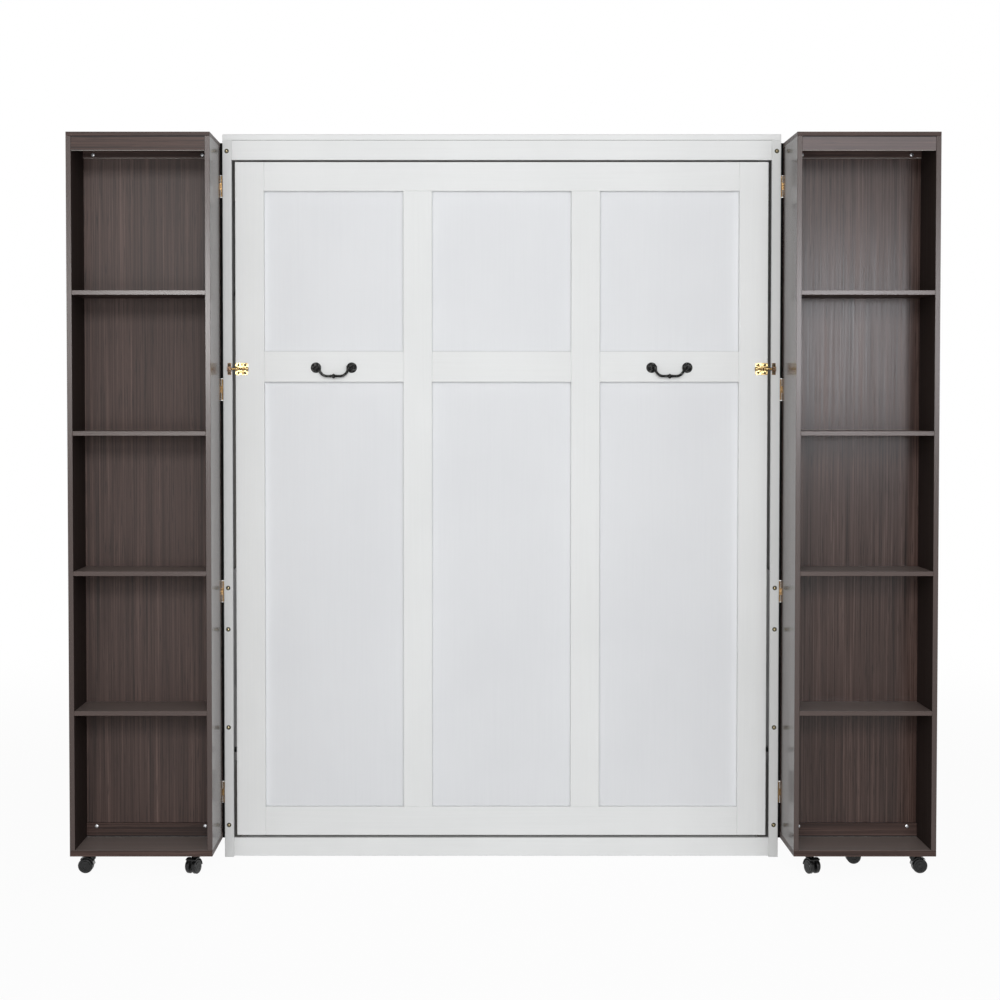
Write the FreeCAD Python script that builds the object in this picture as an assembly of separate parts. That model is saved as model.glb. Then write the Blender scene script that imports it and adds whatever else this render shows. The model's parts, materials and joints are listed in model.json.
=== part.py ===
import FreeCAD, Part
import math
import os

# Wall bed for a queen mattress: a floor cabinet whose front folds down as the bed, and two open
# bookcases on casters that are hinged to the cabinet's front corners.
# Millimetres. X to the right, Y towards the wall, Z up, the floor at Z 0, the bed closed.

V = FreeCAD.Vector

# Mattress that the bed takes, and the room round it
MATTRESS_WIDTH = 1524.0
MATTRESS_LENGTH = 2032.0
MATTRESS_ROOM = 6.0
MECHANISM_ROOM = 47.0
HEAD_LIFT = 48.0

# Cabinet
CABINET_DEPTH = 450.0
BOARD = 18.0
STILE_WIDTH = 28.0
STILE_THICK = 20.0
HEADER_HEIGHT = 60.0
TOE_HEIGHT = 56.0
TOE_LIFT = 4.0
TOE_THICK = 15.0
WALL_RAIL_HEIGHT = 100.0
LOWER_WALL_RAIL_LIFT = 100.0
WALL_HOLE_RADIUS = 4.0
WALL_HOLE_SPACING = 812.8
BOARD_EASE = 1.2

# Screws through the front stiles
LOWER_SCREW_HEIGHTS = (99.0, 400.0, 702.0, 829.0)
TOP_SCREW_DROP = 33.0
SCREW_INSET = 13.0
SCREW_RADIUS = 2.5
SCREW_HEAD_RADIUS = 7.0
SCREW_HEAD_RISE = 1.4
SCREW_LENGTH = 60.0
SCREW_HOLE_PLAY = 0.05

# Bed face, the framed front that the bed lies on when it is down
DOOR_SIDE_GAP = 10.0
DOOR_TOP_GAP = 6.0
DOOR_TOE_GAP = 8.0
MEMBER_WIDTH = 88.0
MEMBER_THICK = 18.0
MID_RAIL_HEIGHT = 93.0
MID_RAIL_DROP = 622.0
BAY_COUNT = 3
PANEL_THICK = 9.0

# Bed frame behind the face
RAIL_THICK = 20.0
RAIL_DEPTH = 120.0
RAIL_BELOW_DOOR_TOP = 2.0
LEDGER_WIDTH = 25.0
BEAM_WIDTH = 40.0
BEAM_DEPTH = 40.0
SLAT_WIDTH = 70.0
SLAT_THICK = 18.0
SLAT_COUNT = 13

# Bed pivot, and the gas strut beside it
PIVOT_BACK = 90.0
PIVOT_HEIGHT = 320.0
PIVOT_PIN_RADIUS = 8.0
PIVOT_BOSS_RADIUS = 18.0
PIVOT_BOSS_RISE = 8.0
BRACKET_THICK = 6.0
BRACKET_FRONT = 45.0
BRACKET_BACK = 55.0
BRACKET_DOWN = 105.0
BRACKET_UP = 125.0
PLATE_THICK = 5.0
PLATE_MARGIN = 40.0
PLATE_CORNER = 14.0
RUNNING_PLAY = 0.05
PIN_END_GAP = 1.0
STRUT_STUD_BACK = 190.0
STRUT_STUD_UP = 520.0
STRUT_CRANK_BACK = 30.0
STRUT_CRANK_DOWN = 74.0
STRUT_STUD_RADIUS = 5.0
STRUT_HEAD_RADIUS = 8.0
STRUT_HEAD_THICK = 3.0
STRUT_EYE_RADIUS = 12.0
STRUT_EYE_THICK = 12.0
STRUT_NECK = 5.0
STRUT_TUBE_RADIUS = 10.0
STRUT_TUBE_LENGTH = 325.0
STRUT_ROD_RADIUS = 4.0
STRUT_ROD_INSIDE = 40.0
STRUT_END_ROOM = 48.0
STRUT_SIDE_GAP = 2.0
STRUT_OPEN_GAP = 0.5

# Foot legs in the gap beside the bed face
LEG_PIVOT_DROP = 130.0
LEG_PIVOT_BACK = 60.0
LEG_THICK = 6.0
LEG_WIDTH = 36.0
LEG_FOOT_WIDTH = 70.0
LEG_FOOT_HEIGHT = 14.0
LEG_PIN_RADIUS = 5.0
LEG_SPACER_RADIUS = 9.0
LEG_SIDE_GAP = 0.5
LEG_FLOOR_GAP = 1.0

# Bail pulls
PULL_DROP = 3.0
PULL_CENTRES = 109.0
PULL_STANDOFF = 17.0
ROSETTE_RADIUS = 16.0
ROSETTE_RIM = 1.6
ROSETTE_CROWN = 5.0
POST_RADIUS = 4.5
POST_BALL_RADIUS = 6.0
BAIL_RADIUS = 4.0
BAIL_PIN_RADIUS = 2.5
BAIL_DROP = 26.0
BAIL_BEND = 24.0
BAIL_BEAD_RADIUS = 7.5
BAIL_BEAD_HALF = 6.5
BAIL_BEAD_ROOT = 3.8
BAIL_BOSS_RADIUS = 5.0
BAIL_BOSS_LENGTH = 8.5
BAIL_POST_GAP = 0.8

# Barrel bolts between the bed face and the front stiles
BOLT_DROP = 7.0
BOLT_PLATE_LENGTH = 38.0
BOLT_PLATE_HEIGHT = 36.0
BOLT_PLATE_THICK = 2.0
BOLT_PLATE_CORNER = 4.0
BOLT_ROD_RADIUS = 4.0
BOLT_BARREL_WALL = 2.2
BOLT_GUIDE_LENGTH = 6.0
BOLT_FACE_GAP = 1.0
BOLT_TIP_GAP = 1.0
BOLT_TAIL = 2.0
BOLT_KNOB_RADIUS = 4.0
BOLT_KNOB_STEM_RADIUS = 2.0
BOLT_KNOB_REACH = 10.0
BOLT_SHOT = 8.0
KEEPER_WIDTH = 11.0
KEEPER_EDGE = 3.0
KEEPER_PLAY = 0.8
KEEPER_ROUND = 2.5

# Bookcases
CASE_WIDTH = 420.0
CASE_TOP_DROP = 27.0
CASE_DEPTH = 318.0
CASE_SIDE = 15.0
CASE_TOP = 12.0
CASE_BASE = 18.0
CASE_SHELF = 13.0
CASE_SHELF_PITCH = 411.5
CASE_SHELF_COUNT = 4
CASE_INSIDE_DEPTH = 229.0
CASE_RAIL_HEIGHT = 42.0
CASE_RAIL_THICK = 15.0
CASE_RAIL_SETBACK = 2.0
CASE_BACK = 5.0
CASE_EASE = 0.6

# Butt hinges and the dark strips between them, in the gap beside each bookcase
HINGE_GAP = 6.0
HINGE_COUNT = 4
HINGE_BOTTOM_INSET = 141.0
HINGE_TOP_INSET = 131.0
HINGE_LENGTH = 64.0
HINGE_LEAF_THICK = 1.5
HINGE_LEAF_WIDTH = 22.0
HINGE_KNUCKLE_PLAY = 0.3
HINGE_PIN_RADIUS = 1.5
STRIP_SIDE_GAP = 0.4
STRIP_SETBACK = 0.5
STRIP_WIDTH = 14.0
STRIP_END_GAP = 2.0

# Casters
CASTER_HEIGHT = 60.0
CASTER_PLATE = 46.0
CASTER_PLATE_THICK = 3.0
CASTER_SIDE_INSET = 55.0
CASTER_FRONT_INSET = 70.0
CASTER_REAR_INSET = 99.0
CASTER_TRAIL = 18.0
CASTER_PIN_RADIUS = 5.0
CASTER_PIN_LENGTH = 9.0
CASTER_BOSS_RADIUS = 11.0
CASTER_PLATE_GAP = 0.5
WHEEL_RADIUS = 22.0
WHEEL_WIDTH = 12.5
WHEEL_CROWN = 2.5
WHEEL_SIDE_GAP = 1.0
WHEEL_HOOD_GAP = 1.2
AXLE_RADIUS = 3.0
WEB_THICK = 7.0
WEB_HUB_REACH = 9.0
WEB_HUB_DROP = 6.0
HOOD_THICK = 2.5
HOOD_REAR_ANGLE = 50.0

# Planes that several pieces share
BED_INNER = (MATTRESS_WIDTH + MATTRESS_ROOM) / 2
RAIL_OUTER = BED_INNER + RAIL_THICK
SIDE_INNER = RAIL_OUTER + MECHANISM_ROOM
HALF = SIDE_INNER + BOARD
STILE_INNER = HALF - STILE_WIDTH
DOOR_HALF = STILE_INNER - DOOR_SIDE_GAP
FRONT = (CASE_DEPTH - CABINET_DEPTH) / 2
BACK = FRONT + CABINET_DEPTH
PANEL_FRONT = FRONT + MEMBER_THICK
PANEL_BACK = PANEL_FRONT + PANEL_THICK
RAIL_BACK = PANEL_BACK + RAIL_DEPTH
HEAD_INNER = HEAD_LIFT + RAIL_THICK
FOOT_INNER = HEAD_INNER + MATTRESS_LENGTH + MATTRESS_ROOM
FRAME_TOP = FOOT_INNER + RAIL_THICK
TOE_TOP = TOE_LIFT + TOE_HEIGHT
DOOR_BOTTOM = TOE_TOP + DOOR_TOE_GAP
DOOR_TOP = FRAME_TOP + RAIL_BELOW_DOOR_TOP
HEADER_BOTTOM = DOOR_TOP + DOOR_TOP_GAP
TOP_UNDER = HEADER_BOTTOM + HEADER_HEIGHT
CABINET_HEIGHT = TOP_UNDER + BOARD
SCREW_HEIGHTS = LOWER_SCREW_HEIGHTS + (TOP_UNDER - TOP_SCREW_DROP,)
BAY = (2 * DOOR_HALF - (BAY_COUNT + 1) * MEMBER_WIDTH) / BAY_COUNT
BAY_PITCH = BAY + MEMBER_WIDTH
OUTER_BAY = (BAY_COUNT - 1) / 2 * BAY_PITCH
MID_RAIL_CENTRE = DOOR_TOP - MID_RAIL_DROP
SLAT_FRONT = PANEL_BACK + BEAM_DEPTH
SLAT_BACK = SLAT_FRONT + SLAT_THICK
PIVOT_Y = FRONT + PIVOT_BACK
BRACKET_OUTER = RAIL_OUTER + BRACKET_THICK
PLATE_INNER = SIDE_INNER - PLATE_THICK
STRUT_X = PLATE_INNER - STRUT_SIDE_GAP - STRUT_TUBE_RADIUS
STRUT_STUD = V(STRUT_X, PIVOT_Y + STRUT_STUD_BACK, PIVOT_HEIGHT + STRUT_STUD_UP)
STRUT_CRANK = V(STRUT_X, PIVOT_Y + STRUT_CRANK_BACK, PIVOT_HEIGHT - STRUT_CRANK_DOWN)
STRUT_CRANK_LOWERED = V(STRUT_X, PIVOT_Y + STRUT_CRANK_DOWN, PIVOT_HEIGHT + STRUT_CRANK_BACK)
STRUT_STROKE = (STRUT_CRANK - STRUT_STUD).Length - (STRUT_CRANK_LOWERED - STRUT_STUD).Length
LEG_X = (DOOR_HALF + STILE_INNER) / 2
LEG_PIVOT = V(LEG_X, FRONT + LEG_PIVOT_BACK, DOOR_TOP - LEG_PIVOT_DROP)
LEG_LENGTH = PIVOT_HEIGHT - PIVOT_BACK + LEG_PIVOT_BACK - LEG_FLOOR_GAP
PULL_HEIGHT = MID_RAIL_CENTRE - PULL_DROP
PULL_OFFSET = OUTER_BAY
BOLT_HEIGHT = MID_RAIL_CENTRE - BOLT_DROP
BOLT_AXIS_Y = FRONT - BOLT_PLATE_THICK - BOLT_FACE_GAP - BOLT_ROD_RADIUS
KEEPER_INNER = STILE_INNER + KEEPER_EDGE
BOLT_TIP = KEEPER_INNER - BOLT_TIP_GAP
CASE_INNER = HALF + HINGE_GAP
CASE_OUTER = CASE_INNER + CASE_WIDTH
CASE_FRONT = FRONT - CASE_DEPTH
CASE_TOP_Z = CABINET_HEIGHT - CASE_TOP_DROP
CASE_FLOOR = CASTER_HEIGHT + CASE_BASE
CASE_CEILING = CASE_TOP_Z - CASE_TOP
CASE_RAIL_FRONT = CASE_FRONT + CASE_INSIDE_DEPTH
CASE_RAIL_BACK = CASE_RAIL_FRONT + CASE_RAIL_THICK
HINGE_X = HALF + HINGE_GAP / 2
HINGE_Y = FRONT + HINGE_GAP / 2
KNUCKLE_RADIUS = HINGE_GAP / 2 - HINGE_KNUCKLE_PLAY
HINGE_LOW = CASTER_HEIGHT + HINGE_BOTTOM_INSET
HINGE_PITCH = (CASE_TOP_Z - HINGE_TOP_INSET - HINGE_LOW) / (HINGE_COUNT - 1)
HINGE_HEIGHTS = [HINGE_LOW + n * HINGE_PITCH for n in range(HINGE_COUNT)]


def box(x, y, z):
    """A block between two values on each axis, given in either order."""
    low = V(min(x), min(y), min(z))
    return Part.makeBox(abs(x[1] - x[0]), abs(y[1] - y[0]), abs(z[1] - z[0]), low)


def eased(x, y, z, ease=BOARD_EASE):
    """A block with its sharp edges taken off."""
    block = box(x, y, z)
    return block.makeChamfer(ease, block.Edges)


def bar_x(radius, x0, x1, y, z):
    """A round bar along X."""
    return Part.makeCylinder(radius, abs(x1 - x0), V(min(x0, x1), y, z), V(1, 0, 0))


def bar_y(radius, y0, y1, x, z):
    """A round bar along Y."""
    return Part.makeCylinder(radius, abs(y1 - y0), V(x, min(y0, y1), z), V(0, 1, 0))


def bar_z(radius, z0, z1, x, y):
    """A round bar along Z."""
    return Part.makeCylinder(radius, abs(z1 - z0), V(x, y, min(z0, z1)), V(0, 0, 1))


def bar_between(radius, start, end):
    """A round bar from one point to another."""
    run = end - start
    return Part.makeCylinder(radius, run.Length, start, run)


def joined(first, *others):
    """One solid of several that meet."""
    return first.fuse(list(others)).removeSplitter().Solids[0]


def extruded(points, run):
    """A straight-sided outline pushed along a vector."""
    return Part.Face(Part.makePolygon(points + points[:1])).extrude(run)


def rounded_plate(x, y, z, corner):
    """A thin plate across X with its four corners rounded."""
    plate = box(x, y, z)
    return plate.makeFillet(corner, edges_along(plate, V(1, 0, 0)))


def edges_along(shape, direction):
    """A shape's straight edges that run along a direction."""
    return [e for e in shape.Edges if e.tangentAt(e.FirstParameter).cross(direction).Length < 1e-6]


def rounded_wire(points, radius):
    """Straight runs through the points, with an arc of one radius at each corner."""
    edges = []
    start = points[0]
    for before, corner, after in zip(points, points[1:], points[2:]):
        back = (before - corner).normalize()
        ahead = (after - corner).normalize()
        half = math.acos(back.dot(ahead)) / 2
        reach = radius / math.tan(half)
        enter = corner + back * reach
        leave = corner + ahead * reach
        middle = corner + (back + ahead).normalize() * (radius / math.sin(half) - radius)
        edges.append(Part.LineSegment(start, enter).toShape())
        edges.append(Part.Arc(enter, middle, leave).toShape())
        start = leave
    edges.append(Part.LineSegment(start, points[-1]).toShape())
    return Part.Wire(edges)


def swept(path, radius):
    """A round rod that follows a path."""
    first = path.Edges[0]
    begin = first.valueAt(first.FirstParameter)
    ring = Part.Wire(Part.makeCircle(radius, begin, first.tangentAt(first.FirstParameter)))
    return path.makePipeShell([ring], True, False)


def turned(x, z, start, *runs):
    """A solid turned about an axis along Y. Each run ends a line, or an arc through a middle point,
    and a point is a radius and a Y."""
    edges = []
    first = here = V(x, start[1], z - start[0])
    for run in runs:
        points = [V(x, y, z - radius) for radius, y in run]
        if len(points) == 2:
            edges.append(Part.Arc(here, points[0], points[1]).toShape())
        else:
            edges.append(Part.LineSegment(here, points[0]).toShape())
        here = points[-1]
    edges.append(Part.LineSegment(here, first).toShape())
    return Part.Face(Part.Wire(edges)).revolve(V(x, 0, z), V(0, 1, 0), 360)


def cap_radius(radius, rise):
    """The sphere's radius for a round cap of a given radius and rise."""
    return (radius**2 + rise**2) / (2 * rise)


def cap_fall(sphere, radius):
    """How far a cap has fallen from its top at a radius."""
    return sphere - math.sqrt(sphere**2 - radius**2)


def mirrored(shape):
    """The same piece on the other side of the bed."""
    return shape.mirror(V(0, 0, 0), V(1, 0, 0))


def both(*right_solids):
    """Solids of the right side and their mirror images."""
    return [mirrored(s) for s in right_solids] + list(right_solids)


def save(node, *solids):
    """One node's file, with its separate solids."""
    Part.makeCompound(list(solids)).exportStep("parts/" + node + ".step")


# Cabinet


def side_board():
    """The right side board, with the screws' pilot holes in its front edge."""
    front = FRONT + STILE_THICK
    board = eased((SIDE_INNER, HALF), (front, BACK), (0, TOP_UNDER))
    holes = [
        bar_y(SCREW_RADIUS + SCREW_HOLE_PLAY, front, FRONT + SCREW_LENGTH, HALF - SCREW_INSET, z)
        for z in SCREW_HEIGHTS
    ]
    return board.cut(holes)


def front_stile():
    """The right front stile, with clearance holes for its screws."""
    stile = eased((STILE_INNER, HALF), (FRONT, FRONT + STILE_THICK), (0, TOP_UNDER))
    holes = [
        bar_y(SCREW_RADIUS + SCREW_HOLE_PLAY, FRONT, FRONT + STILE_THICK, HALF - SCREW_INSET, z)
        for z in SCREW_HEIGHTS
    ]
    return stile.cut(holes)


def stile_screw(z):
    """A screw with a low domed head on the right stile."""
    crown = cap_radius(SCREW_HEAD_RADIUS, SCREW_HEAD_RISE)
    tip = FRONT + SCREW_LENGTH
    half_way = SCREW_HEAD_RADIUS / 2
    return turned(
        HALF - SCREW_INSET,
        z,
        (0, tip),
        [(SCREW_RADIUS, tip)],
        [(SCREW_RADIUS, FRONT)],
        [(SCREW_HEAD_RADIUS, FRONT)],
        [(half_way, FRONT - SCREW_HEAD_RISE + cap_fall(crown, half_way)), (0, FRONT - SCREW_HEAD_RISE)],
    )


def wall_rail(bottom):
    """A cross rail at the back, with two holes for fixing it to the wall."""
    y = (BACK - BOARD, BACK)
    rail = eased((-SIDE_INNER, SIDE_INNER), y, (bottom, bottom + WALL_RAIL_HEIGHT))
    middle = bottom + WALL_RAIL_HEIGHT / 2
    holes = [
        bar_y(WALL_HOLE_RADIUS, y[0], y[1], side * WALL_HOLE_SPACING / 2, middle) for side in (-1, 1)
    ]
    return rail.cut(holes)


def pivot_plate():
    """The right steel plate, with the bed's pivot pin and the strut's headed stud."""
    y = (PIVOT_Y - PLATE_MARGIN, STRUT_STUD.y + PLATE_MARGIN)
    z = (PIVOT_HEIGHT - PLATE_MARGIN, STRUT_STUD.z + PLATE_MARGIN)
    plate = rounded_plate((PLATE_INNER, SIDE_INNER), y, z, PLATE_CORNER)
    pin = bar_x(PIVOT_PIN_RADIUS, RAIL_OUTER + PIN_END_GAP, SIDE_INNER, PIVOT_Y, PIVOT_HEIGHT)
    eye_inner = STRUT_X - STRUT_EYE_THICK / 2 - PIN_END_GAP
    stud = bar_x(STRUT_STUD_RADIUS, eye_inner, SIDE_INNER, STRUT_STUD.y, STRUT_STUD.z)
    head_end = eye_inner - STRUT_HEAD_THICK
    head = bar_x(STRUT_HEAD_RADIUS, head_end, eye_inner, STRUT_STUD.y, STRUT_STUD.z)
    return joined(plate, pin, stud, head)


def bolt_keeper():
    """The right keeper: a plate on the stile with a rounded strap over the bolt."""
    x = (KEEPER_INNER, KEEPER_INNER + KEEPER_WIDTH)
    half = BOLT_PLATE_HEIGHT / 2
    plate_front = FRONT - BOLT_PLATE_THICK
    plate = box(x, (plate_front, FRONT), (BOLT_HEIGHT - half, BOLT_HEIGHT + half))
    inner = BOLT_ROD_RADIUS + KEEPER_PLAY
    outer = inner + BOLT_BARREL_WALL
    strap = box(x, (BOLT_AXIS_Y - outer, FRONT), (BOLT_HEIGHT - outer, BOLT_HEIGHT + outer))
    crown = [e for e in edges_along(strap, V(1, 0, 0)) if e.BoundBox.YMax < plate_front]
    strap = strap.makeFillet(KEEPER_ROUND, crown)
    way = box(x, (BOLT_AXIS_Y - inner, plate_front), (BOLT_HEIGHT - inner, BOLT_HEIGHT + inner))
    return joined(plate, strap).cut(way).Solids[0]


def hinge_ends(z):
    """Bottom, lower joint, upper joint and top of a hinge's three knuckles."""
    bottom = z - HINGE_LENGTH / 2
    third = HINGE_LENGTH / 3
    return bottom, bottom + third, bottom + 2 * third, bottom + HINGE_LENGTH


def cabinet_leaf(z):
    """A right hinge's leaf on the cabinet's side: two outer knuckles and the pin."""
    bottom, lower, upper, top = hinge_ends(z)
    leaf_x = (HALF, HALF + HINGE_LEAF_THICK)
    leaf = box(leaf_x, (HINGE_Y, HINGE_Y + HINGE_LEAF_WIDTH), (bottom, top))
    clear = bar_z(KNUCKLE_RADIUS + HINGE_KNUCKLE_PLAY, lower, upper, HINGE_X, HINGE_Y)
    ends = [
        bar_z(KNUCKLE_RADIUS, bottom, lower, HINGE_X, HINGE_Y),
        bar_z(KNUCKLE_RADIUS, upper, top, HINGE_X, HINGE_Y),
    ]
    pin = bar_z(HINGE_PIN_RADIUS, bottom, top, HINGE_X, HINGE_Y)
    return joined(leaf.cut(clear), *ends, pin)


def case_leaf(z):
    """A right hinge's leaf on the bookcase's rear edge: the middle knuckle."""
    _, lower, upper, _ = hinge_ends(z)
    knuckle_z = (lower + HINGE_KNUCKLE_PLAY, upper - HINGE_KNUCKLE_PLAY)
    leaf_y = (FRONT, FRONT + HINGE_LEAF_THICK)
    half = HINGE_LENGTH / 2
    leaf = box((CASE_INNER, CASE_INNER + CASE_SIDE), leaf_y, (z - half, z + half))
    tongue = box((HINGE_X, CASE_INNER), leaf_y, knuckle_z)
    knuckle = bar_z(KNUCKLE_RADIUS, knuckle_z[0], knuckle_z[1], HINGE_X, HINGE_Y)
    bore = bar_z(HINGE_PIN_RADIUS + RUNNING_PLAY, knuckle_z[0], knuckle_z[1], HINGE_X, HINGE_Y)
    return joined(leaf, tongue, knuckle).cut(bore).Solids[0]


def gap_strips():
    """The right side's dark strips, which fill the gap over the bookcase's height between the hinges."""
    x = (HALF, CASE_INNER - STRIP_SIDE_GAP)
    front = FRONT + STRIP_SETBACK
    breaks = [
        z + end * (HINGE_LENGTH / 2 + STRIP_END_GAP) for z in HINGE_HEIGHTS for end in (-1, 1)
    ]
    ends = [CASTER_HEIGHT] + breaks + [CASE_TOP_Z]
    return [box(x, (front, front + STRIP_WIDTH), span) for span in zip(ends[::2], ends[1::2])]


# Bed


def face_uprights():
    """The outer uprights run the full height, and the inner ones stand between the two rails."""
    uprights = []
    for n in range(BAY_COUNT + 1):
        x = n * BAY_PITCH - DOOR_HALF
        end = 0 if n in (0, BAY_COUNT) else MEMBER_WIDTH
        z = (DOOR_BOTTOM + end, DOOR_TOP - end)
        uprights.append(eased((x, x + MEMBER_WIDTH), (FRONT, PANEL_FRONT), z))
    return uprights


def face_rails():
    """The bottom and the top rail of the bed face."""
    x = (MEMBER_WIDTH - DOOR_HALF, DOOR_HALF - MEMBER_WIDTH)
    y = (FRONT, PANEL_FRONT)
    return [
        eased(x, y, (DOOR_BOTTOM, DOOR_BOTTOM + MEMBER_WIDTH)),
        eased(x, y, (DOOR_TOP - MEMBER_WIDTH, DOOR_TOP)),
    ]


def face_mid_rails():
    """One short rail across each bay, at the height of the pulls."""
    y = (FRONT, PANEL_FRONT)
    z = (MID_RAIL_CENTRE - MID_RAIL_HEIGHT / 2, MID_RAIL_CENTRE + MID_RAIL_HEIGHT / 2)
    starts = [n * BAY_PITCH + MEMBER_WIDTH - DOOR_HALF for n in range(BAY_COUNT)]
    return [eased((x, x + BAY), y, z) for x in starts]


def bed_side_rails():
    """The long rails, each with the ledger that carries the slats' ends."""
    rail = eased((BED_INNER, RAIL_OUTER), (PANEL_BACK, RAIL_BACK), (HEAD_LIFT, FRAME_TOP))
    ledger_x = (BED_INNER - LEDGER_WIDTH, BED_INNER)
    ledger = box(ledger_x, (PANEL_BACK, SLAT_FRONT), (DOOR_BOTTOM, FOOT_INNER))
    return both(rail, ledger)


def bed_end_rails():
    """The head rail at the bottom and the foot rail at the top."""
    x = (-BED_INNER, BED_INNER)
    y = (PANEL_BACK, RAIL_BACK)
    return [eased(x, y, (HEAD_LIFT, HEAD_INNER)), eased(x, y, (FOOT_INNER, FRAME_TOP))]


def slats():
    """Even slats across the ledgers and the centre beam."""
    x = (-BED_INNER, BED_INNER)
    y = (SLAT_FRONT, SLAT_BACK)
    low = DOOR_BOTTOM + SLAT_WIDTH / 2
    pitch = (FOOT_INNER - SLAT_WIDTH - low) / (SLAT_COUNT - 1)
    return [box(x, y, (low + n * pitch, low + n * pitch + SLAT_WIDTH)) for n in range(SLAT_COUNT)]


def bed_bracket():
    """The right bracket: a plate on the side rail with a pivot bush and the strut's open stud."""
    y = (PIVOT_Y - BRACKET_FRONT, PIVOT_Y + BRACKET_BACK)
    z = (PIVOT_HEIGHT - BRACKET_DOWN, PIVOT_HEIGHT + BRACKET_UP)
    plate = rounded_plate((RAIL_OUTER, BRACKET_OUTER), y, z, PLATE_CORNER)
    boss_end = BRACKET_OUTER + PIVOT_BOSS_RISE
    boss = bar_x(PIVOT_BOSS_RADIUS, RAIL_OUTER, boss_end, PIVOT_Y, PIVOT_HEIGHT)
    stud_end = STRUT_X - STRUT_EYE_THICK / 2 - STRUT_OPEN_GAP
    stud = bar_x(STRUT_STUD_RADIUS, RAIL_OUTER, stud_end, STRUT_CRANK.y, STRUT_CRANK.z)
    bore = bar_x(PIVOT_PIN_RADIUS + RUNNING_PLAY, RAIL_OUTER, boss_end, PIVOT_Y, PIVOT_HEIGHT)
    return joined(plate, boss, stud).cut(bore).Solids[0]


def leg_pin():
    """The right foot leg's pin, with the spacer that holds the leg out past the bed face."""
    inner = LEG_X - LEG_THICK / 2
    spacer_end = inner - LEG_SIDE_GAP
    spacer = bar_x(LEG_SPACER_RADIUS, RAIL_OUTER, spacer_end, LEG_PIVOT.y, LEG_PIVOT.z)
    pin = bar_x(LEG_PIN_RADIUS, RAIL_OUTER, LEG_X + LEG_THICK / 2, LEG_PIVOT.y, LEG_PIVOT.z)
    return joined(spacer, pin)


def foot_leg():
    """The right foot leg: a flat bar that hangs from its pin, with a wider foot."""
    x = (LEG_X - LEG_THICK / 2, LEG_X + LEG_THICK / 2)
    bottom = LEG_PIVOT.z - LEG_LENGTH
    half = LEG_WIDTH / 2
    bar = box(x, (LEG_PIVOT.y - half, LEG_PIVOT.y + half), (bottom, LEG_PIVOT.z))
    crown = bar_x(half, x[0], x[1], LEG_PIVOT.y, LEG_PIVOT.z)
    foot_half = LEG_FOOT_WIDTH / 2
    flare = foot_half - half
    foot = extruded(
        [
            V(x[0], LEG_PIVOT.y - foot_half, bottom),
            V(x[0], LEG_PIVOT.y + foot_half, bottom),
            V(x[0], LEG_PIVOT.y + foot_half, bottom + LEG_FOOT_HEIGHT),
            V(x[0], LEG_PIVOT.y + half, bottom + LEG_FOOT_HEIGHT + flare),
            V(x[0], LEG_PIVOT.y - half, bottom + LEG_FOOT_HEIGHT + flare),
            V(x[0], LEG_PIVOT.y - foot_half, bottom + LEG_FOOT_HEIGHT),
        ],
        V(LEG_THICK, 0, 0),
    )
    hole = bar_x(LEG_PIN_RADIUS + RUNNING_PLAY, x[0], x[1], LEG_PIVOT.y, LEG_PIVOT.z)
    return joined(bar, crown, foot).cut(hole).Solids[0]


def strut_point(distance):
    """A point on the closed bed's strut line, measured from the cabinet's stud."""
    return STRUT_STUD + (STRUT_CRANK - STRUT_STUD).normalize() * distance


def strut_eye(centre):
    """An end eye across X."""
    half = STRUT_EYE_THICK / 2
    return bar_x(STRUT_EYE_RADIUS, centre.x - half, centre.x + half, centre.y, centre.z)


def eye_bore(centre):
    """The running bore through an end eye."""
    half = STRUT_EYE_THICK / 2
    radius = STRUT_STUD_RADIUS + RUNNING_PLAY
    return bar_x(radius, centre.x - half, centre.x + half, centre.y, centre.z)


def strut_tube_start():
    """Distance from the stud to the tube's closed end, past the eye and a short neck."""
    return STRUT_EYE_RADIUS + STRUT_NECK


def strut_tube_end():
    """Distance from the stud to the tube's open end."""
    return strut_tube_start() + STRUT_TUBE_LENGTH


def strut_cylinder():
    """The right gas cylinder: an eye on the cabinet's stud and a tube bored for the rod."""
    start = strut_tube_start()
    end = strut_tube_end()
    neck = bar_between(STRUT_ROD_RADIUS, STRUT_STUD, strut_point(start + STRUT_NECK))
    tube = bar_between(STRUT_TUBE_RADIUS, strut_point(start), strut_point(end))
    bore_start = strut_point(end - STRUT_ROD_INSIDE - STRUT_STROKE - STRUT_END_ROOM)
    bore = bar_between(STRUT_ROD_RADIUS + RUNNING_PLAY, bore_start, strut_point(end))
    return joined(strut_eye(STRUT_STUD), neck, tube).cut([bore, eye_bore(STRUT_STUD)]).Solids[0]


def strut_rod():
    """The right strut's rod, with its eye in line with the bed bracket's stud."""
    start = strut_point(strut_tube_end() - STRUT_ROD_INSIDE)
    rod = bar_between(STRUT_ROD_RADIUS, start, STRUT_CRANK)
    return joined(rod, strut_eye(STRUT_CRANK)).cut(eye_bore(STRUT_CRANK)).Solids[0]


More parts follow.
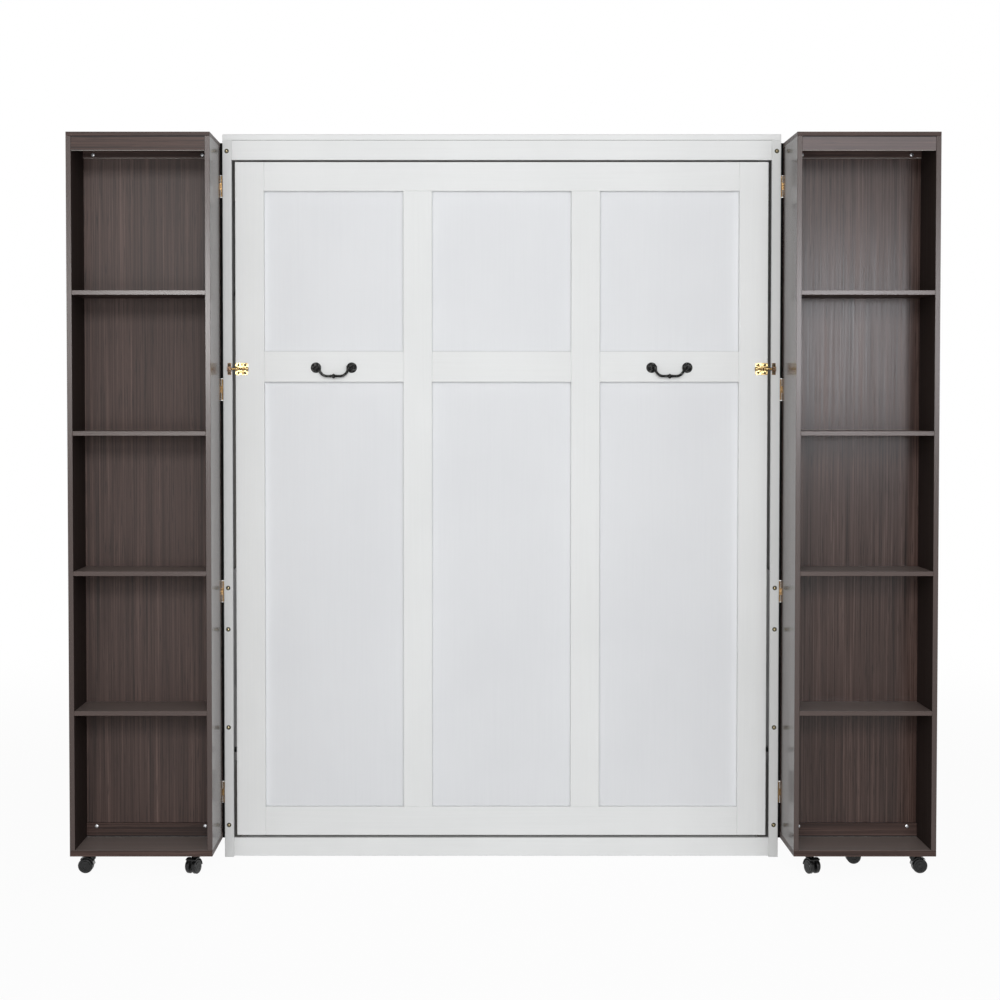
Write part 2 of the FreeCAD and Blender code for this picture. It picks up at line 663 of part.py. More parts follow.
def rosette(x):
    """A crowned round plate with a post, whose ball is bored for the bail."""
    crown = cap_radius(ROSETTE_RADIUS, ROSETTE_CROWN - ROSETTE_RIM)
    top = FRONT - ROSETTE_CROWN
    half_way = (ROSETTE_RADIUS + POST_RADIUS) / 2
    ball = FRONT - PULL_STANDOFF
    neck = ball + math.sqrt(POST_BALL_RADIUS**2 - POST_RADIUS**2)
    plate = turned(
        x,
        PULL_HEIGHT,
        (0, FRONT),
        [(ROSETTE_RADIUS, FRONT)],
        [(ROSETTE_RADIUS, FRONT - ROSETTE_RIM)],
        [(half_way, top + cap_fall(crown, half_way)), (POST_RADIUS, top + cap_fall(crown, POST_RADIUS))],
        [(POST_RADIUS, neck)],
        [(POST_BALL_RADIUS, ball), (0, ball - POST_BALL_RADIUS)],
    )
    bore_x = (x - POST_BALL_RADIUS, x + POST_BALL_RADIUS)
    bore = bar_x(BAIL_PIN_RADIUS + RUNNING_PLAY, bore_x[0], bore_x[1], ball, PULL_HEIGHT)
    return plate.cut(bore).Solids[0]


def bail():
    """The right bail: a rod bent to a U with a pointed middle bead, and a boss and a pin at each post."""
    y = FRONT - PULL_STANDOFF
    low = PULL_HEIGHT - BAIL_DROP
    boss_end = PULL_CENTRES / 2 - POST_BALL_RADIUS - BAIL_POST_GAP
    boss_start = boss_end - BAIL_BOSS_LENGTH
    half = (boss_start + boss_end) / 2
    pin_end = PULL_CENTRES / 2 + POST_BALL_RADIUS
    corners = [(-half, PULL_HEIGHT), (-half, low), (half, low), (half, PULL_HEIGHT)]
    rod = swept(rounded_wire([V(PULL_OFFSET + u, y, z) for u, z in corners], BAIL_BEND), BAIL_RADIUS)
    fittings = []
    for side in (-1, 1):
        inner = PULL_OFFSET + side * boss_start
        outer = PULL_OFFSET + side * boss_end
        bead_tip = V(PULL_OFFSET + side * BAIL_BEAD_HALF, y, low)
        fittings += [
            Part.makeCone(BAIL_BEAD_ROOT, BAIL_BEAD_RADIUS, BAIL_BEAD_HALF, bead_tip, V(-side, 0, 0)),
            bar_x(BAIL_BOSS_RADIUS, inner, outer, y, PULL_HEIGHT),
            bar_x(BAIL_PIN_RADIUS, inner, PULL_OFFSET + side * pin_end, y, PULL_HEIGHT),
        ]
    return joined(rod, *fittings)


def bolt_body():
    """The right bolt's plate, with a guide at each end."""
    x = (DOOR_HALF - BOLT_PLATE_LENGTH, DOOR_HALF)
    half = BOLT_PLATE_HEIGHT / 2
    plate = box(x, (FRONT - BOLT_PLATE_THICK, FRONT), (BOLT_HEIGHT - half, BOLT_HEIGHT + half))
    plate = plate.makeFillet(BOLT_PLATE_CORNER, edges_along(plate, V(0, 1, 0)))
    outer = BOLT_ROD_RADIUS + BOLT_BARREL_WALL
    guides = []
    for start in (x[0], x[1] - BOLT_GUIDE_LENGTH):
        span = (start, start + BOLT_GUIDE_LENGTH)
        barrel = bar_x(outer, span[0], span[1], BOLT_AXIS_Y, BOLT_HEIGHT)
        saddle = box(span, (BOLT_AXIS_Y, FRONT), (BOLT_HEIGHT - outer, BOLT_HEIGHT + outer))
        in_front = box(span, (FRONT - BOLT_PLATE_HEIGHT, FRONT), (BOLT_HEIGHT - half, BOLT_HEIGHT + half))
        guides += [barrel.common(in_front), saddle]
    bore = bar_x(BOLT_ROD_RADIUS + RUNNING_PLAY, x[0], x[1], BOLT_AXIS_Y, BOLT_HEIGHT)
    return joined(plate, *guides).cut(bore).Solids[0]


def bolt_rod():
    """The right bolt, stored just short of its keeper, with the knob that slides it."""
    tail = DOOR_HALF - BOLT_PLATE_LENGTH - BOLT_TAIL
    rod = bar_x(BOLT_ROD_RADIUS, tail, BOLT_TIP, BOLT_AXIS_Y, BOLT_HEIGHT)
    knob_x = DOOR_HALF - BOLT_GUIDE_LENGTH - BOLT_KNOB_STEM_RADIUS - BOLT_SHOT - BOLT_TIP_GAP
    knob_y = BOLT_AXIS_Y - BOLT_KNOB_REACH
    stem = bar_y(BOLT_KNOB_STEM_RADIUS, knob_y, BOLT_AXIS_Y, knob_x, BOLT_HEIGHT)
    knob = Part.makeSphere(BOLT_KNOB_RADIUS, V(knob_x, knob_y, BOLT_HEIGHT))
    return joined(rod, stem, knob)


# Bookcases


def case_sides():
    """The right bookcase's inner and outer sides, which stand on its base."""
    y = (CASE_FRONT, FRONT)
    z = (CASE_FLOOR, CASE_CEILING)
    return [
        eased((CASE_INNER, CASE_INNER + CASE_SIDE), y, z, CASE_EASE),
        eased((CASE_OUTER - CASE_SIDE, CASE_OUTER), y, z, CASE_EASE),
    ]


def case_rails():
    """The front top rail, set back a little, the rear top rail and the rear bottom rail."""
    x = (CASE_INNER + CASE_SIDE, CASE_OUTER - CASE_SIDE)
    front_face = CASE_FRONT + CASE_RAIL_SETBACK
    front = (front_face, front_face + CASE_RAIL_THICK)
    rear = (CASE_RAIL_FRONT, CASE_RAIL_BACK)
    high = (CASE_CEILING - CASE_RAIL_HEIGHT, CASE_CEILING)
    low = (CASE_FLOOR, CASE_FLOOR + CASE_RAIL_HEIGHT)
    return [eased(x, y, z, CASE_EASE) for y, z in ((front, high), (rear, high), (rear, low))]


def case_shelves():
    """Shelves from the front edge to the back panel, their tops one pitch apart."""
    x = (CASE_INNER + CASE_SIDE, CASE_OUTER - CASE_SIDE)
    y = (CASE_FRONT, CASE_RAIL_BACK)
    tops = [CASE_FLOOR + n * CASE_SHELF_PITCH for n in range(1, CASE_SHELF_COUNT + 1)]
    return [eased(x, y, (top - CASE_SHELF, top), CASE_EASE) for top in tops]


def case_board(bottom, top):
    """A full-width board that covers the ends of the sides."""
    return eased((CASE_INNER, CASE_OUTER), (CASE_FRONT, FRONT), (bottom, top), CASE_EASE)


def case_back():
    """The back panel behind the shelves and the rear rails."""
    x = (CASE_INNER + CASE_SIDE, CASE_OUTER - CASE_SIDE)
    return box(x, (CASE_RAIL_BACK, CASE_RAIL_BACK + CASE_BACK), (CASE_FLOOR, CASE_CEILING))


# Casters: the swivel's place under the bookcase, and the way the wheels trail, in degrees from +X

OUTER_CASTER = CASE_OUTER - CASTER_SIDE_INSET
INNER_CASTER = CASE_INNER + CASTER_SIDE_INSET
FRONT_CASTER = CASE_FRONT + CASTER_FRONT_INSET
REAR_CASTER = FRONT - CASTER_REAR_INSET
CASTERS = {
    "left_outer": (-OUTER_CASTER, FRONT_CASTER, 180.0),
    "left_inner": (-INNER_CASTER, FRONT_CASTER, 245.0),
    "right_inner": (INNER_CASTER, FRONT_CASTER, 295.0),
    "right_outer": (OUTER_CASTER, FRONT_CASTER, 0.0),
    "right_rear": ((CASE_INNER + CASE_OUTER) / 2 + CASTER_TRAIL, REAR_CASTER, 180.0),
}
CASTER_PLATE_UNDER = CASTER_HEIGHT - CASTER_PLATE_THICK


def placed(shape, caster):
    """A caster piece, modelled about the origin, turned and moved to its place."""
    x, y, angle = CASTERS[caster]
    there = shape.copy()
    there.rotate(V(0, 0, 0), V(0, 0, 1), angle)
    there.translate(V(x, y, 0))
    return there


def caster_plate(caster):
    """A fixing plate with the king pin that the caster turns on."""
    half = CASTER_PLATE / 2
    plate = box((-half, half), (-half, half), (CASTER_PLATE_UNDER, CASTER_HEIGHT))
    pin = bar_z(CASTER_PIN_RADIUS, CASTER_PLATE_UNDER - CASTER_PIN_LENGTH, CASTER_HEIGHT, 0, 0)
    x, y, _ = CASTERS[caster]
    plate = joined(plate, pin)
    plate.translate(V(x, y, 0))
    return plate


def caster_body(caster):
    """A swivel body: boss, middle web, hood over both wheels, and the axle."""
    boss_top = CASTER_PLATE_UNDER - CASTER_PLATE_GAP
    hood_inner = WHEEL_RADIUS + WHEEL_HOOD_GAP
    hood_outer = hood_inner + HOOD_THICK
    half_web = WEB_THICK / 2
    half_width = half_web + WHEEL_SIDE_GAP + WHEEL_WIDTH
    boss_bottom = WHEEL_RADIUS + hood_inner
    boss = bar_z(CASTER_BOSS_RADIUS, boss_bottom, boss_top, 0, 0)
    hood = bar_y(hood_outer, -half_width, half_width, CASTER_TRAIL, WHEEL_RADIUS)
    hood = hood.cut(bar_y(hood_inner, -half_width, half_width, CASTER_TRAIL, WHEEL_RADIUS))
    above = (WHEEL_RADIUS + AXLE_RADIUS, CASTER_HEIGHT)
    reach = (CASTER_TRAIL - hood_outer, CASTER_TRAIL + hood_inner * math.cos(math.radians(HOOD_REAR_ANGLE)))
    hood = hood.common(box(reach, (-half_width, half_width), above))
    web_bottom = WHEEL_RADIUS - WEB_HUB_DROP
    web = extruded(
        [
            V(-CASTER_BOSS_RADIUS, -half_web, boss_top),
            V(-CASTER_BOSS_RADIUS, -half_web, boss_bottom - HOOD_THICK),
            V(CASTER_TRAIL - WEB_HUB_REACH, -half_web, web_bottom),
            V(CASTER_TRAIL + WEB_HUB_REACH, -half_web, web_bottom),
            V(CASTER_TRAIL + WEB_HUB_REACH, -half_web, boss_bottom),
            V(CASTER_BOSS_RADIUS, -half_web, boss_top),
        ],
        V(0, WEB_THICK, 0),
    )
    axle = bar_y(AXLE_RADIUS, -half_width, half_width, CASTER_TRAIL, WHEEL_RADIUS)
    pin_end = CASTER_PLATE_UNDER - CASTER_PIN_LENGTH - CASTER_PLATE_GAP
    bore = bar_z(CASTER_PIN_RADIUS + RUNNING_PLAY, pin_end, CASTER_HEIGHT, 0, 0)
    return placed(joined(boss, hood, web, axle).cut(bore).Solids[0], caster)


def caster_wheels(caster):
    """The two wheels, one on each side of the web."""
    wheels = []
    start = WEB_THICK / 2 + WHEEL_SIDE_GAP
    for inner, outer in ((start, start + WHEEL_WIDTH), (-start - WHEEL_WIDTH, -start)):
        wheel = bar_y(WHEEL_RADIUS, inner, outer, CASTER_TRAIL, WHEEL_RADIUS)
        rims = [e for e in wheel.Edges if isinstance(e.Curve, Part.Circle)]
        wheel = wheel.makeChamfer(WHEEL_CROWN, rims)
        bore = bar_y(AXLE_RADIUS + RUNNING_PLAY, inner, outer, CASTER_TRAIL, WHEEL_RADIUS)
        wheels.append(placed(wheel.cut(bore).Solids[0], caster))
    return wheels


def build():
    os.makedirs("parts", exist_ok=True)

    save("left_side_board", mirrored(side_board()))
    save("right_side_board", side_board())
    save("front_stiles", *both(front_stile()))
    save("top_board", eased((-HALF, HALF), (FRONT, BACK), (TOP_UNDER, CABINET_HEIGHT)))
    stile_back = FRONT + STILE_THICK
    save("header_rail", eased((-STILE_INNER, STILE_INNER), (FRONT, stile_back), (HEADER_BOTTOM, TOP_UNDER)))
    toe_y = (FRONT, FRONT + TOE_THICK)
    save("toe_rail", eased((-STILE_INNER, STILE_INNER), toe_y, (TOE_LIFT, TOE_TOP)))
    save("wall_rails", wall_rail(LOWER_WALL_RAIL_LIFT), wall_rail(TOP_UNDER - WALL_RAIL_HEIGHT))
    save("frame_screws", *both(*[stile_screw(z) for z in SCREW_HEIGHTS]))
    save("pivot_plates", *both(pivot_plate()))
    save("bolt_keepers", *both(bolt_keeper()))
    save("cabinet_hinge_leaves", *both(*[cabinet_leaf(z) for z in HINGE_HEIGHTS]))
    save("hinge_gap_strips", *both(*gap_strips()))

    save("face_panel", box((-DOOR_HALF, DOOR_HALF), (PANEL_FRONT, PANEL_BACK), (DOOR_BOTTOM, DOOR_TOP)))
    save("face_uprights", *face_uprights())
    save("face_rails", *face_rails())
    save("face_mid_rails", *face_mid_rails())
    save("bed_side_rails", *bed_side_rails())
    save("bed_end_rails", *bed_end_rails())
    save("slats", *slats())
    beam_x = (-BEAM_WIDTH / 2, BEAM_WIDTH / 2)
    save("centre_beam", box(beam_x, (PANEL_BACK, SLAT_FRONT), (DOOR_BOTTOM, FOOT_INNER)))
    save("bed_pivot_fittings", *both(bed_bracket(), leg_pin()))
    half_pull = PULL_CENTRES / 2
    save("handle_rosettes", *both(rosette(PULL_OFFSET - half_pull), rosette(PULL_OFFSET + half_pull)))
    save("bolt_bodies", *both(bolt_body()))

    for name, piece in (
        ("bail", bail()),
        ("bolt", bolt_rod()),
        ("foot_leg", foot_leg()),
        ("strut_cylinder", strut_cylinder()),
        ("strut_rod", strut_rod()),
    ):
        save("left_" + name, mirrored(piece))
        save("right_" + name, piece)

    case_pieces = {
        "case_sides": case_sides(),
        "case_top": [case_board(CASE_CEILING, CASE_TOP_Z)],
        "case_base": [case_board(CASTER_HEIGHT, CASE_FLOOR)],
        "case_back": [case_back()],
        "case_rails": case_rails(),
        "case_shelves": case_shelves(),
        "case_hinge_leaves": [case_leaf(z) for z in HINGE_HEIGHTS],
    }
    for name, pieces in case_pieces.items():
        save("left_" + name, *[mirrored(p) for p in pieces])
        save("right_" + name, *pieces)

    for side in ("left", "right"):
        save(side + "_caster_plates", *[caster_plate(c) for c in CASTERS if c.startswith(side)])
    for caster in CASTERS:
        save(caster + "_caster", caster_body(caster))
        save(caster + "_wheels", *caster_wheels(caster))


build()
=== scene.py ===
"""Looks for a wall bed between two swing-out bookcases: a finish for every solid, small fittings such as
screws and hub caps, and a plain studio. Metres, in the model's own frame."""

import json
import math

import bmesh
import bpy
from mathutils import Matrix, Vector


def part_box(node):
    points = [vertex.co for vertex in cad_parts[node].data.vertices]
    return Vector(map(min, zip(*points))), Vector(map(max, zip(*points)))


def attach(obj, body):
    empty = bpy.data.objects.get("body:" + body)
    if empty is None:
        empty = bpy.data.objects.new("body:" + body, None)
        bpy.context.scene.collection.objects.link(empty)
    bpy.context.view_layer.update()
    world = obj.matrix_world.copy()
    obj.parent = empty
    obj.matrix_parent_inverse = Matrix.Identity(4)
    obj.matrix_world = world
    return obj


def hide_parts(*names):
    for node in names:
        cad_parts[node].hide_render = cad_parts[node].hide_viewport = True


# Camera, from the photograph's perspective
CAMERA_PLACE = (-0.1224, -7.579, 1.3927)
CAMERA_PITCH = math.radians(2.24)
CAMERA_LENS = 88.5
CAMERA_SENSOR = 36.0
CAMERA_SHIFT_X = 0.0385

# Studio
AIM = (0.0, 0.0, 1.15)
SOFTBOXES = {
    "right_softbox": {"place": (2.02, -6.9, 1.80), "size": (0.9, 1.0), "watts": 42.0},
    "left_softbox": {"place": (-1.62, -6.9, 1.85), "size": (1.0, 0.8), "watts": 45.0},
    "front_softbox": {"place": (0.0, -11.0, 4.2), "size": (3.0, 1.6), "watts": 368.0},
    "overhead_softbox": {"place": (0.0, -4.6, 4.8), "size": (4.0, 2.0), "watts": 26.0},
    "low_softbox": {"place": (0.0, -6.5, 0.6), "size": (2.4, 0.8), "watts": 42.0},
}
RIGHT_TINT = (0.97, 0.98, 1.03)
AMBIENT = 0.20
FLOOR_HALF = 40.0
FLOOR_DROP = 0.0005
FLOOR_COLOUR = (0.9, 0.9, 0.9)
FLOOR_GLOW_NEAR = 0.955
FLOOR_GLOW_SPAN = (2.0, 7.0)
TOE_SIGHT = 0.03

# Finishes
MEMBER_LIGHT = (0.80, 0.81, 0.805)
MEMBER_SHADE = (0.755, 0.765, 0.76)
# The stiles' white is darker than the other members': painted shade from the bookcases beside them.
SHADED_STILE_LIGHT = (0.72, 0.729, 0.724)
SHADED_STILE_DARK = (0.68, 0.689, 0.684)
PANEL_LIGHT = (0.752, 0.763, 0.778)
PANEL_SHADE = (0.717, 0.728, 0.746)
# A dark line at the top of the header: painted shadow at the joint under the top board.
HEADER_JOINT_SHADOW = (0.22, 0.22, 0.22)
# Grey primer for hidden faces, a real finish kept dark as painted shade in the door gaps.
SHADED_PRIMER_DARK = (0.265, 0.264, 0.257)
SHADED_PRIMER_LIGHT = (0.430, 0.428, 0.418)
PRIMER_ROUGHNESS = 0.95
LAMINATE_BROWNS = (
    (0.33, (0.018, 0.0098, 0.0076)),
    (0.46, (0.050, 0.0284, 0.0232)),
    (0.56, (0.076, 0.0450, 0.0372)),
    (0.69, (0.140, 0.089, 0.075)),
)
PORE_BROWN = (0.016, 0.0100, 0.0082)
PORE_SHARE = 0.75
# Darker brown on the inside faces of the bookcase sides: painted shade.
INNER_SIDE_PAINTED_SHADE = (0.014, 0.0092, 0.0075)
INNER_SIDE_SHADE_SHARE = 0.8
EDGE_BAND_BROWN = (0.080, 0.0535, 0.0465)
EDGE_BAND_SHARE = 0.75
# Black on the boards' rear edges: painted shade in the hinge gap.
REAR_EDGE_PAINTED_SHADE = (0.006, 0.006, 0.006)
# Added to the right rails' fronts: a painted sheen.
RIGHT_RAIL_PAINTED_SHEEN = (0.085, 0.082, 0.086)
RAIL_SEAM = (0.010, 0.008, 0.008)
# Added to faces that look up: painted light from above.
TOP_PAINTED_LIGHT = (0.215, 0.190, 0.178)
# Pale colour on the rails' undersides: painted light from the floor.
UNDERSIDE_PAINTED_LIGHT = (0.90, 0.86, 0.80)
TARNISH = (0.15, 0.090, 0.035)
PINE_EARLY = (0.70, 0.50, 0.29)
PINE_LATE = (0.50, 0.30, 0.145)
PINE_FIBRE = (0.78, 0.60, 0.38)
PINE_KNOT = (0.17, 0.085, 0.04)
BRONZE_DARK = (0.050, 0.048, 0.030)
BRONZE_RUBBED = (0.17, 0.145, 0.085)
IRON_BLACK = (0.002, 0.002, 0.0025)
IRON_WORN = (0.085, 0.085, 0.082)
ZINC_DULL = (0.46, 0.47, 0.49)
ZINC_BRIGHT = (0.66, 0.67, 0.68)
NITRIDED_DARK = (0.022, 0.022, 0.024)
NITRIDED_LIGHT = (0.050, 0.050, 0.053)
POWDER_DARK = (0.016, 0.016, 0.017)
POWDER_RUBBED = (0.036, 0.036, 0.037)
NYLON_BLACK = (0.005, 0.0052, 0.0055)
FLOOR_DUST = (0.075, 0.073, 0.07)
RUBBER_DARK = (0.003, 0.003, 0.003)
RUBBER_LIGHT = (0.008, 0.008, 0.008)
LAMINATE_SPECULAR = 0.20
BACK_SPECULAR = 0.28
PAINT_GLOSS = (0.48, 0.60)
BOARD_GLOSS = (0.34, 0.46)
BACK_GLOSS = (0.17, 0.25)
INNER_SIDE_GLOSS = (0.62, 0.76)
OUTER_SIDE_ROUGHNESS = 0.17
DULL_ROUGHNESS = 0.5
LEFT_ROUGHNESS = 0.42
EDGE_BAND_ROUGHNESS = 0.2
EDGE_BAND_COAT = 0.52
FACES_UP = (0.5, 0.9)
FACES_DOWN = (-0.9, -0.5)
FACE_BLEND = (0.0003, 0.0008)
REAR_EDGE = 0.003
SEAM_HEIGHT = 0.0038
SEAM_SHADE = (0.0014, 0.0008)

# Small fittings
STILE_SCREW = {"radius": 0.0030, "rise": 0.0012}
STILE_CUP_PROFILE = ((0.0026, 0.0), (0.0034, 0.0010), (0.0052, 0.0013), (0.0066, 0.0007), (0.0070, 0.0))
PLATE_SCREW = {"radius": 0.0036, "rise": 0.0011}
LEAF_SCREW = {"radius": 0.0026, "rise": 0.0005}
CASTER_SCREW = {"radius": 0.0034, "rise": 0.0014}
SLAT_SCREW = {"radius": 0.0045, "rise": 0.0008}
CONNECTOR = {"radius": 0.0055, "rise": 0.0012}
PLATE_THICK = 0.002
PLATE_SCREW_INSET = {"x": 0.009, "z": 0.006}
LEAF_THICK = 0.0015
CABINET_LEAF_INSET = 0.008
CASE_LEAF_INSET = 0.006
CASTER_SCREW_INSET = 0.006
CASTER_PLATE_THICK = 0.003
CONNECTOR_SIDE_INSET = 0.03
CONNECTOR_EDGE_INSET = 0.01
LEDGER_HALF = 0.0125
LEAF_SCREWS = 3
HUB_PROFILE = ((0.0, 0.0012), (0.0045, 0.0013), (0.0055, 0.0006), (0.0085, 0.0006), (0.0095, 0.0014),
               (0.0135, 0.0013), (0.0145, 0.0), (0.0125, 0.0), (0.0115, 0.0003))
BAIL_COLLAR_PROFILE = ((0.0034, -0.0015), (0.0048, -0.0008), (0.0048, 0.0008), (0.0034, 0.0015))
BAIL_COLLAR_STEP = 0.0085
BAIL_BEAD_RADIUS = 0.0075
BULB_RADIUS = 0.0041
BULB_HALF_TURN = math.radians(33)
BULB_STEPS = 10
BULB_ROOT = 0.0001
HEAD_RINGS = 9
HEAD_DOME_POWER = 2.4
CROSS_ARM_HALF = 0.17
CROSS_ARM_REACH = 0.58
CROSS_DEPTH = 0.62
SHARP_ANGLE = math.radians(32)
SAME_POINT = 1e-6
SAME_PLANE = 1e-4
HALF_HEIGHT = 1.0
TURN_STEPS = 40
TURNS = [2 * math.pi * n / TURN_STEPS for n in range(TURN_STEPS)]

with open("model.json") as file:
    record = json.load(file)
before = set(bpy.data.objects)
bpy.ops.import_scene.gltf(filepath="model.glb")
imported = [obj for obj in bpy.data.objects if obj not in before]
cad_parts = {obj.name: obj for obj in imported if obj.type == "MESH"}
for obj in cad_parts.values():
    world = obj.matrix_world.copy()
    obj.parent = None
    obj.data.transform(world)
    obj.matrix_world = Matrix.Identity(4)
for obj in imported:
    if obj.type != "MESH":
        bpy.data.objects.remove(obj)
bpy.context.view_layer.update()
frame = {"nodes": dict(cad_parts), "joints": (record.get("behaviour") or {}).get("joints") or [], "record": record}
NODE_SLOT = {part["node"]: part["material_slot"] for part in frame["record"]["subparts"]}
JOINTS = {joint["name"]: joint for joint in frame["joints"]}


# Shader maths as plain expressions

# The colour sockets of a Mix node
MIX_FIRST, MIX_SECOND, MIX_RESULT = 6, 7, 2


class Value:
    """A socket that takes part in sums and products."""

    def __init__(self, finish, socket):
        self.finish = finish
        self.socket = socket

    def maths(self, operation, *values):
        """A Math node over some values."""
        return self.finish.node("ShaderNodeMath", {"operation": operation}, dict(enumerate(values)))

    def __add__(self, other):
        return self.maths("ADD", self, other)

    def __sub__(self, other):
        return self.maths("SUBTRACT", self, other)

    def __rsub__(self, other):
        return self.maths("SUBTRACT", other, self)

    def __mul__(self, other):
        return self.maths("MULTIPLY", self, other)

    __radd__ = __add__
    __rmul__ = __mul__


class Finish:
    """A node tree, filled from one method."""

    def __init__(self, tree):
        self.tree = tree
        self.tree.nodes.clear()

    def node(self, kind, settings, sockets, output=0):
        """Adds a node: its settings, then its sockets' values or links. Gives one of its outputs."""
        made = self.tree.nodes.new(kind)
        for name, setting in settings.items():
            if name == "stops":
                self.set_stops(made.color_ramp, setting)
            else:
                setattr(made, name, setting)
        for key, value in sockets.items():
            if isinstance(value, Value):
                self.tree.links.new(value.socket, made.inputs[key])
            else:
                made.inputs[key].default_value = value
        return Value(self, made.outputs[output]) if made.outputs else made

    @staticmethod
    def set_stops(ramp, stops):
        """Gives a colour ramp its stops."""
        while len(ramp.elements) < len(stops):
            ramp.elements.new(1.0)
        for element, (place, colour) in zip(ramp.elements, stops):
            element.position = place
            element.color = (*colour, 1.0)

    def point(self):
        """The place on the object, in metres."""
        return self.node("ShaderNodeTexCoord", {}, {}, "Object")

    def stretched(self, cycles):
        """The place, counted in cycles per metre on each axis."""
        return self.node("ShaderNodeVectorMath", {"operation": "MULTIPLY"}, {0: self.point(), 1: cycles})

    def noise(self, cycles, detail, twist=0.0):
        """Soft noise from 0 to 1."""
        where = {"Vector": self.stretched(cycles), "Scale": 1.0, "Detail": detail, "Distortion": twist}
        return self.node("ShaderNodeTexNoise", {"noise_dimensions": "3D"}, where)

    def cells(self, cycles):
        """Distance to the nearest of scattered points."""
        where = {"Vector": self.stretched(cycles), "Scale": 1.0}
        return self.node("ShaderNodeTexVoronoi", {"feature": "F1"}, where)

    def spread(self, value, low, high, to_low=0.0, to_high=1.0):
        """A value's span from low to high, eased on to another span."""
        limits = {"Value": value, "From Min": low, "From Max": high, "To Min": to_low, "To Max": to_high}
        return self.node("ShaderNodeMapRange", {"interpolation_type": "SMOOTHSTEP"}, limits)

    def axis_value(self, axis):
        """One coordinate of the place, in metres."""
        return self.node("ShaderNodeSeparateXYZ", {}, {0: self.point()}, axis)

    def off_middle(self):
        """How far the place is from the middle plane, in metres."""
        across = self.axis_value("X")
        return across.maths("ABSOLUTE", across)

    def beyond(self, value, face):
        """1 where a value in metres has passed the plane of a face, 0 on the face."""
        return self.spread(value, face + FACE_BLEND[0], face + FACE_BLEND[1])

    def looks_up(self):
        """How far a face looks up: 1 for the top of a board, -1 for its underside."""
        normal = self.node("ShaderNodeNewGeometry", {}, {}, "True Normal")
        return self.node("ShaderNodeSeparateXYZ", {}, {0: normal}, "Z")

    def colours(self, value, *stops):
        """A value turned into colours."""
        return self.node("ShaderNodeValToRGB", {"stops": stops}, {"Fac": value})

    def mixed(self, factor, first, second, blend="MIX"):
        """One colour over another."""
        colours = [c if isinstance(c, Value) else (*c, 1.0) for c in (first, second)]
        settings = {"data_type": "RGBA", "blend_type": blend}
        sockets = {0: factor, MIX_FIRST: colours[0], MIX_SECOND: colours[1]}
        return self.node("ShaderNodeMix", settings, sockets, MIX_RESULT)

    def bumped(self, height, depth, strength):
        """A surface normal for a height in parts of a depth in metres."""
        return self.node("ShaderNodeBump", {}, {"Height": height, "Distance": depth, "Strength": strength})

    def surface(self, **sockets):
        """The finish's shader. Sockets are named as Blender names them, with _ for a space."""
        named = {key.replace("_", " "): value for key, value in sockets.items()}
        shader = self.node("ShaderNodeBsdfPrincipled", {}, named)
        self.node("ShaderNodeOutputMaterial", {}, {"Surface": shader})


def new_finish(name):
    """An empty material and the tree to fill."""
    material = bpy.data.materials.new(name)
    material.use_nodes = True
    return material, Finish(material.node_tree)


def cycles(along, across, axis):
    """Cycles per metre along one axis and across it, as a vector."""
    return tuple(along if n == axis else across for n in range(3))


def even(count):
    """The same number of cycles per metre on each axis."""
    return (count, count, count)


# Finishes


def primer(f):
    """Grey primer on fibreboard, as a colour, kept dark so that it also stands in for the shade in the door gaps.
    """
    fibres = f.noise(even(260.0), 4.0)
    return f.mixed(fibres, SHADED_PRIMER_DARK, SHADED_PRIMER_LIGHT)


def primed_board(name):
    """Fibreboard with one thin coat of grey primer, kept dark as partly painted shade for the door gaps."""
    material, f = new_finish(name)
    nap = f.noise(even(640.0), 3.0)
    f.surface(
        Base_Color=primer(f),
        Roughness=f.spread(nap, 0.3, 0.7, 0.78, PRIMER_ROUGHNESS),
        Normal=f.bumped(nap, 0.00010, 0.5),
    )
    return material


def white_paint(name, axis, light=MEMBER_LIGHT, shade=MEMBER_SHADE, primed_within=None, seam=None):
    """Satin white paint on wood, with a trace of the grain and of the roller. Faces nearer the middle
    than primed_within, in metres, are only primed, in a grey dark enough to be partly painted shade. A line
    just under the height seam is darkened: a painted shadow at the joint."""
    material, f = new_finish(name)
    cloud = f.noise((3.1, 3.1, 2.3), 3.0)
    grain = f.noise(cycles(3.5, 170.0, axis), 4.0, 0.4)
    roller = f.noise(even(520.0), 2.0)
    tone = f.spread(cloud * 0.7 + grain * 0.3, 0.3, 0.7)
    colour = f.mixed(tone, shade, light)
    roughness = f.spread(grain * 0.5 + roller * 0.5, 0.3, 0.7, *PAINT_GLOSS)
    if primed_within is not None:
        # Inner faces in the dark primer, which also stands in for the shade in the door gap.
        inside = 1.0 - f.beyond(f.off_middle(), primed_within)
        colour = f.mixed(inside, colour, primer(f))
        roughness = roughness + inside * (PRIMER_ROUGHNESS - roughness)
    if seam is not None:
        # Painted shadow at the joint under the top board.
        line = f.spread(f.axis_value("Z"), *[seam - drop for drop in SEAM_SHADE])
        colour = f.mixed(line, colour, HEADER_JOINT_SHADOW)
    f.surface(
        Base_Color=colour,
        Roughness=roughness,
        Normal=f.bumped(grain * 0.6 + roller * 0.4, 0.00012, 0.5),
    )
    return material


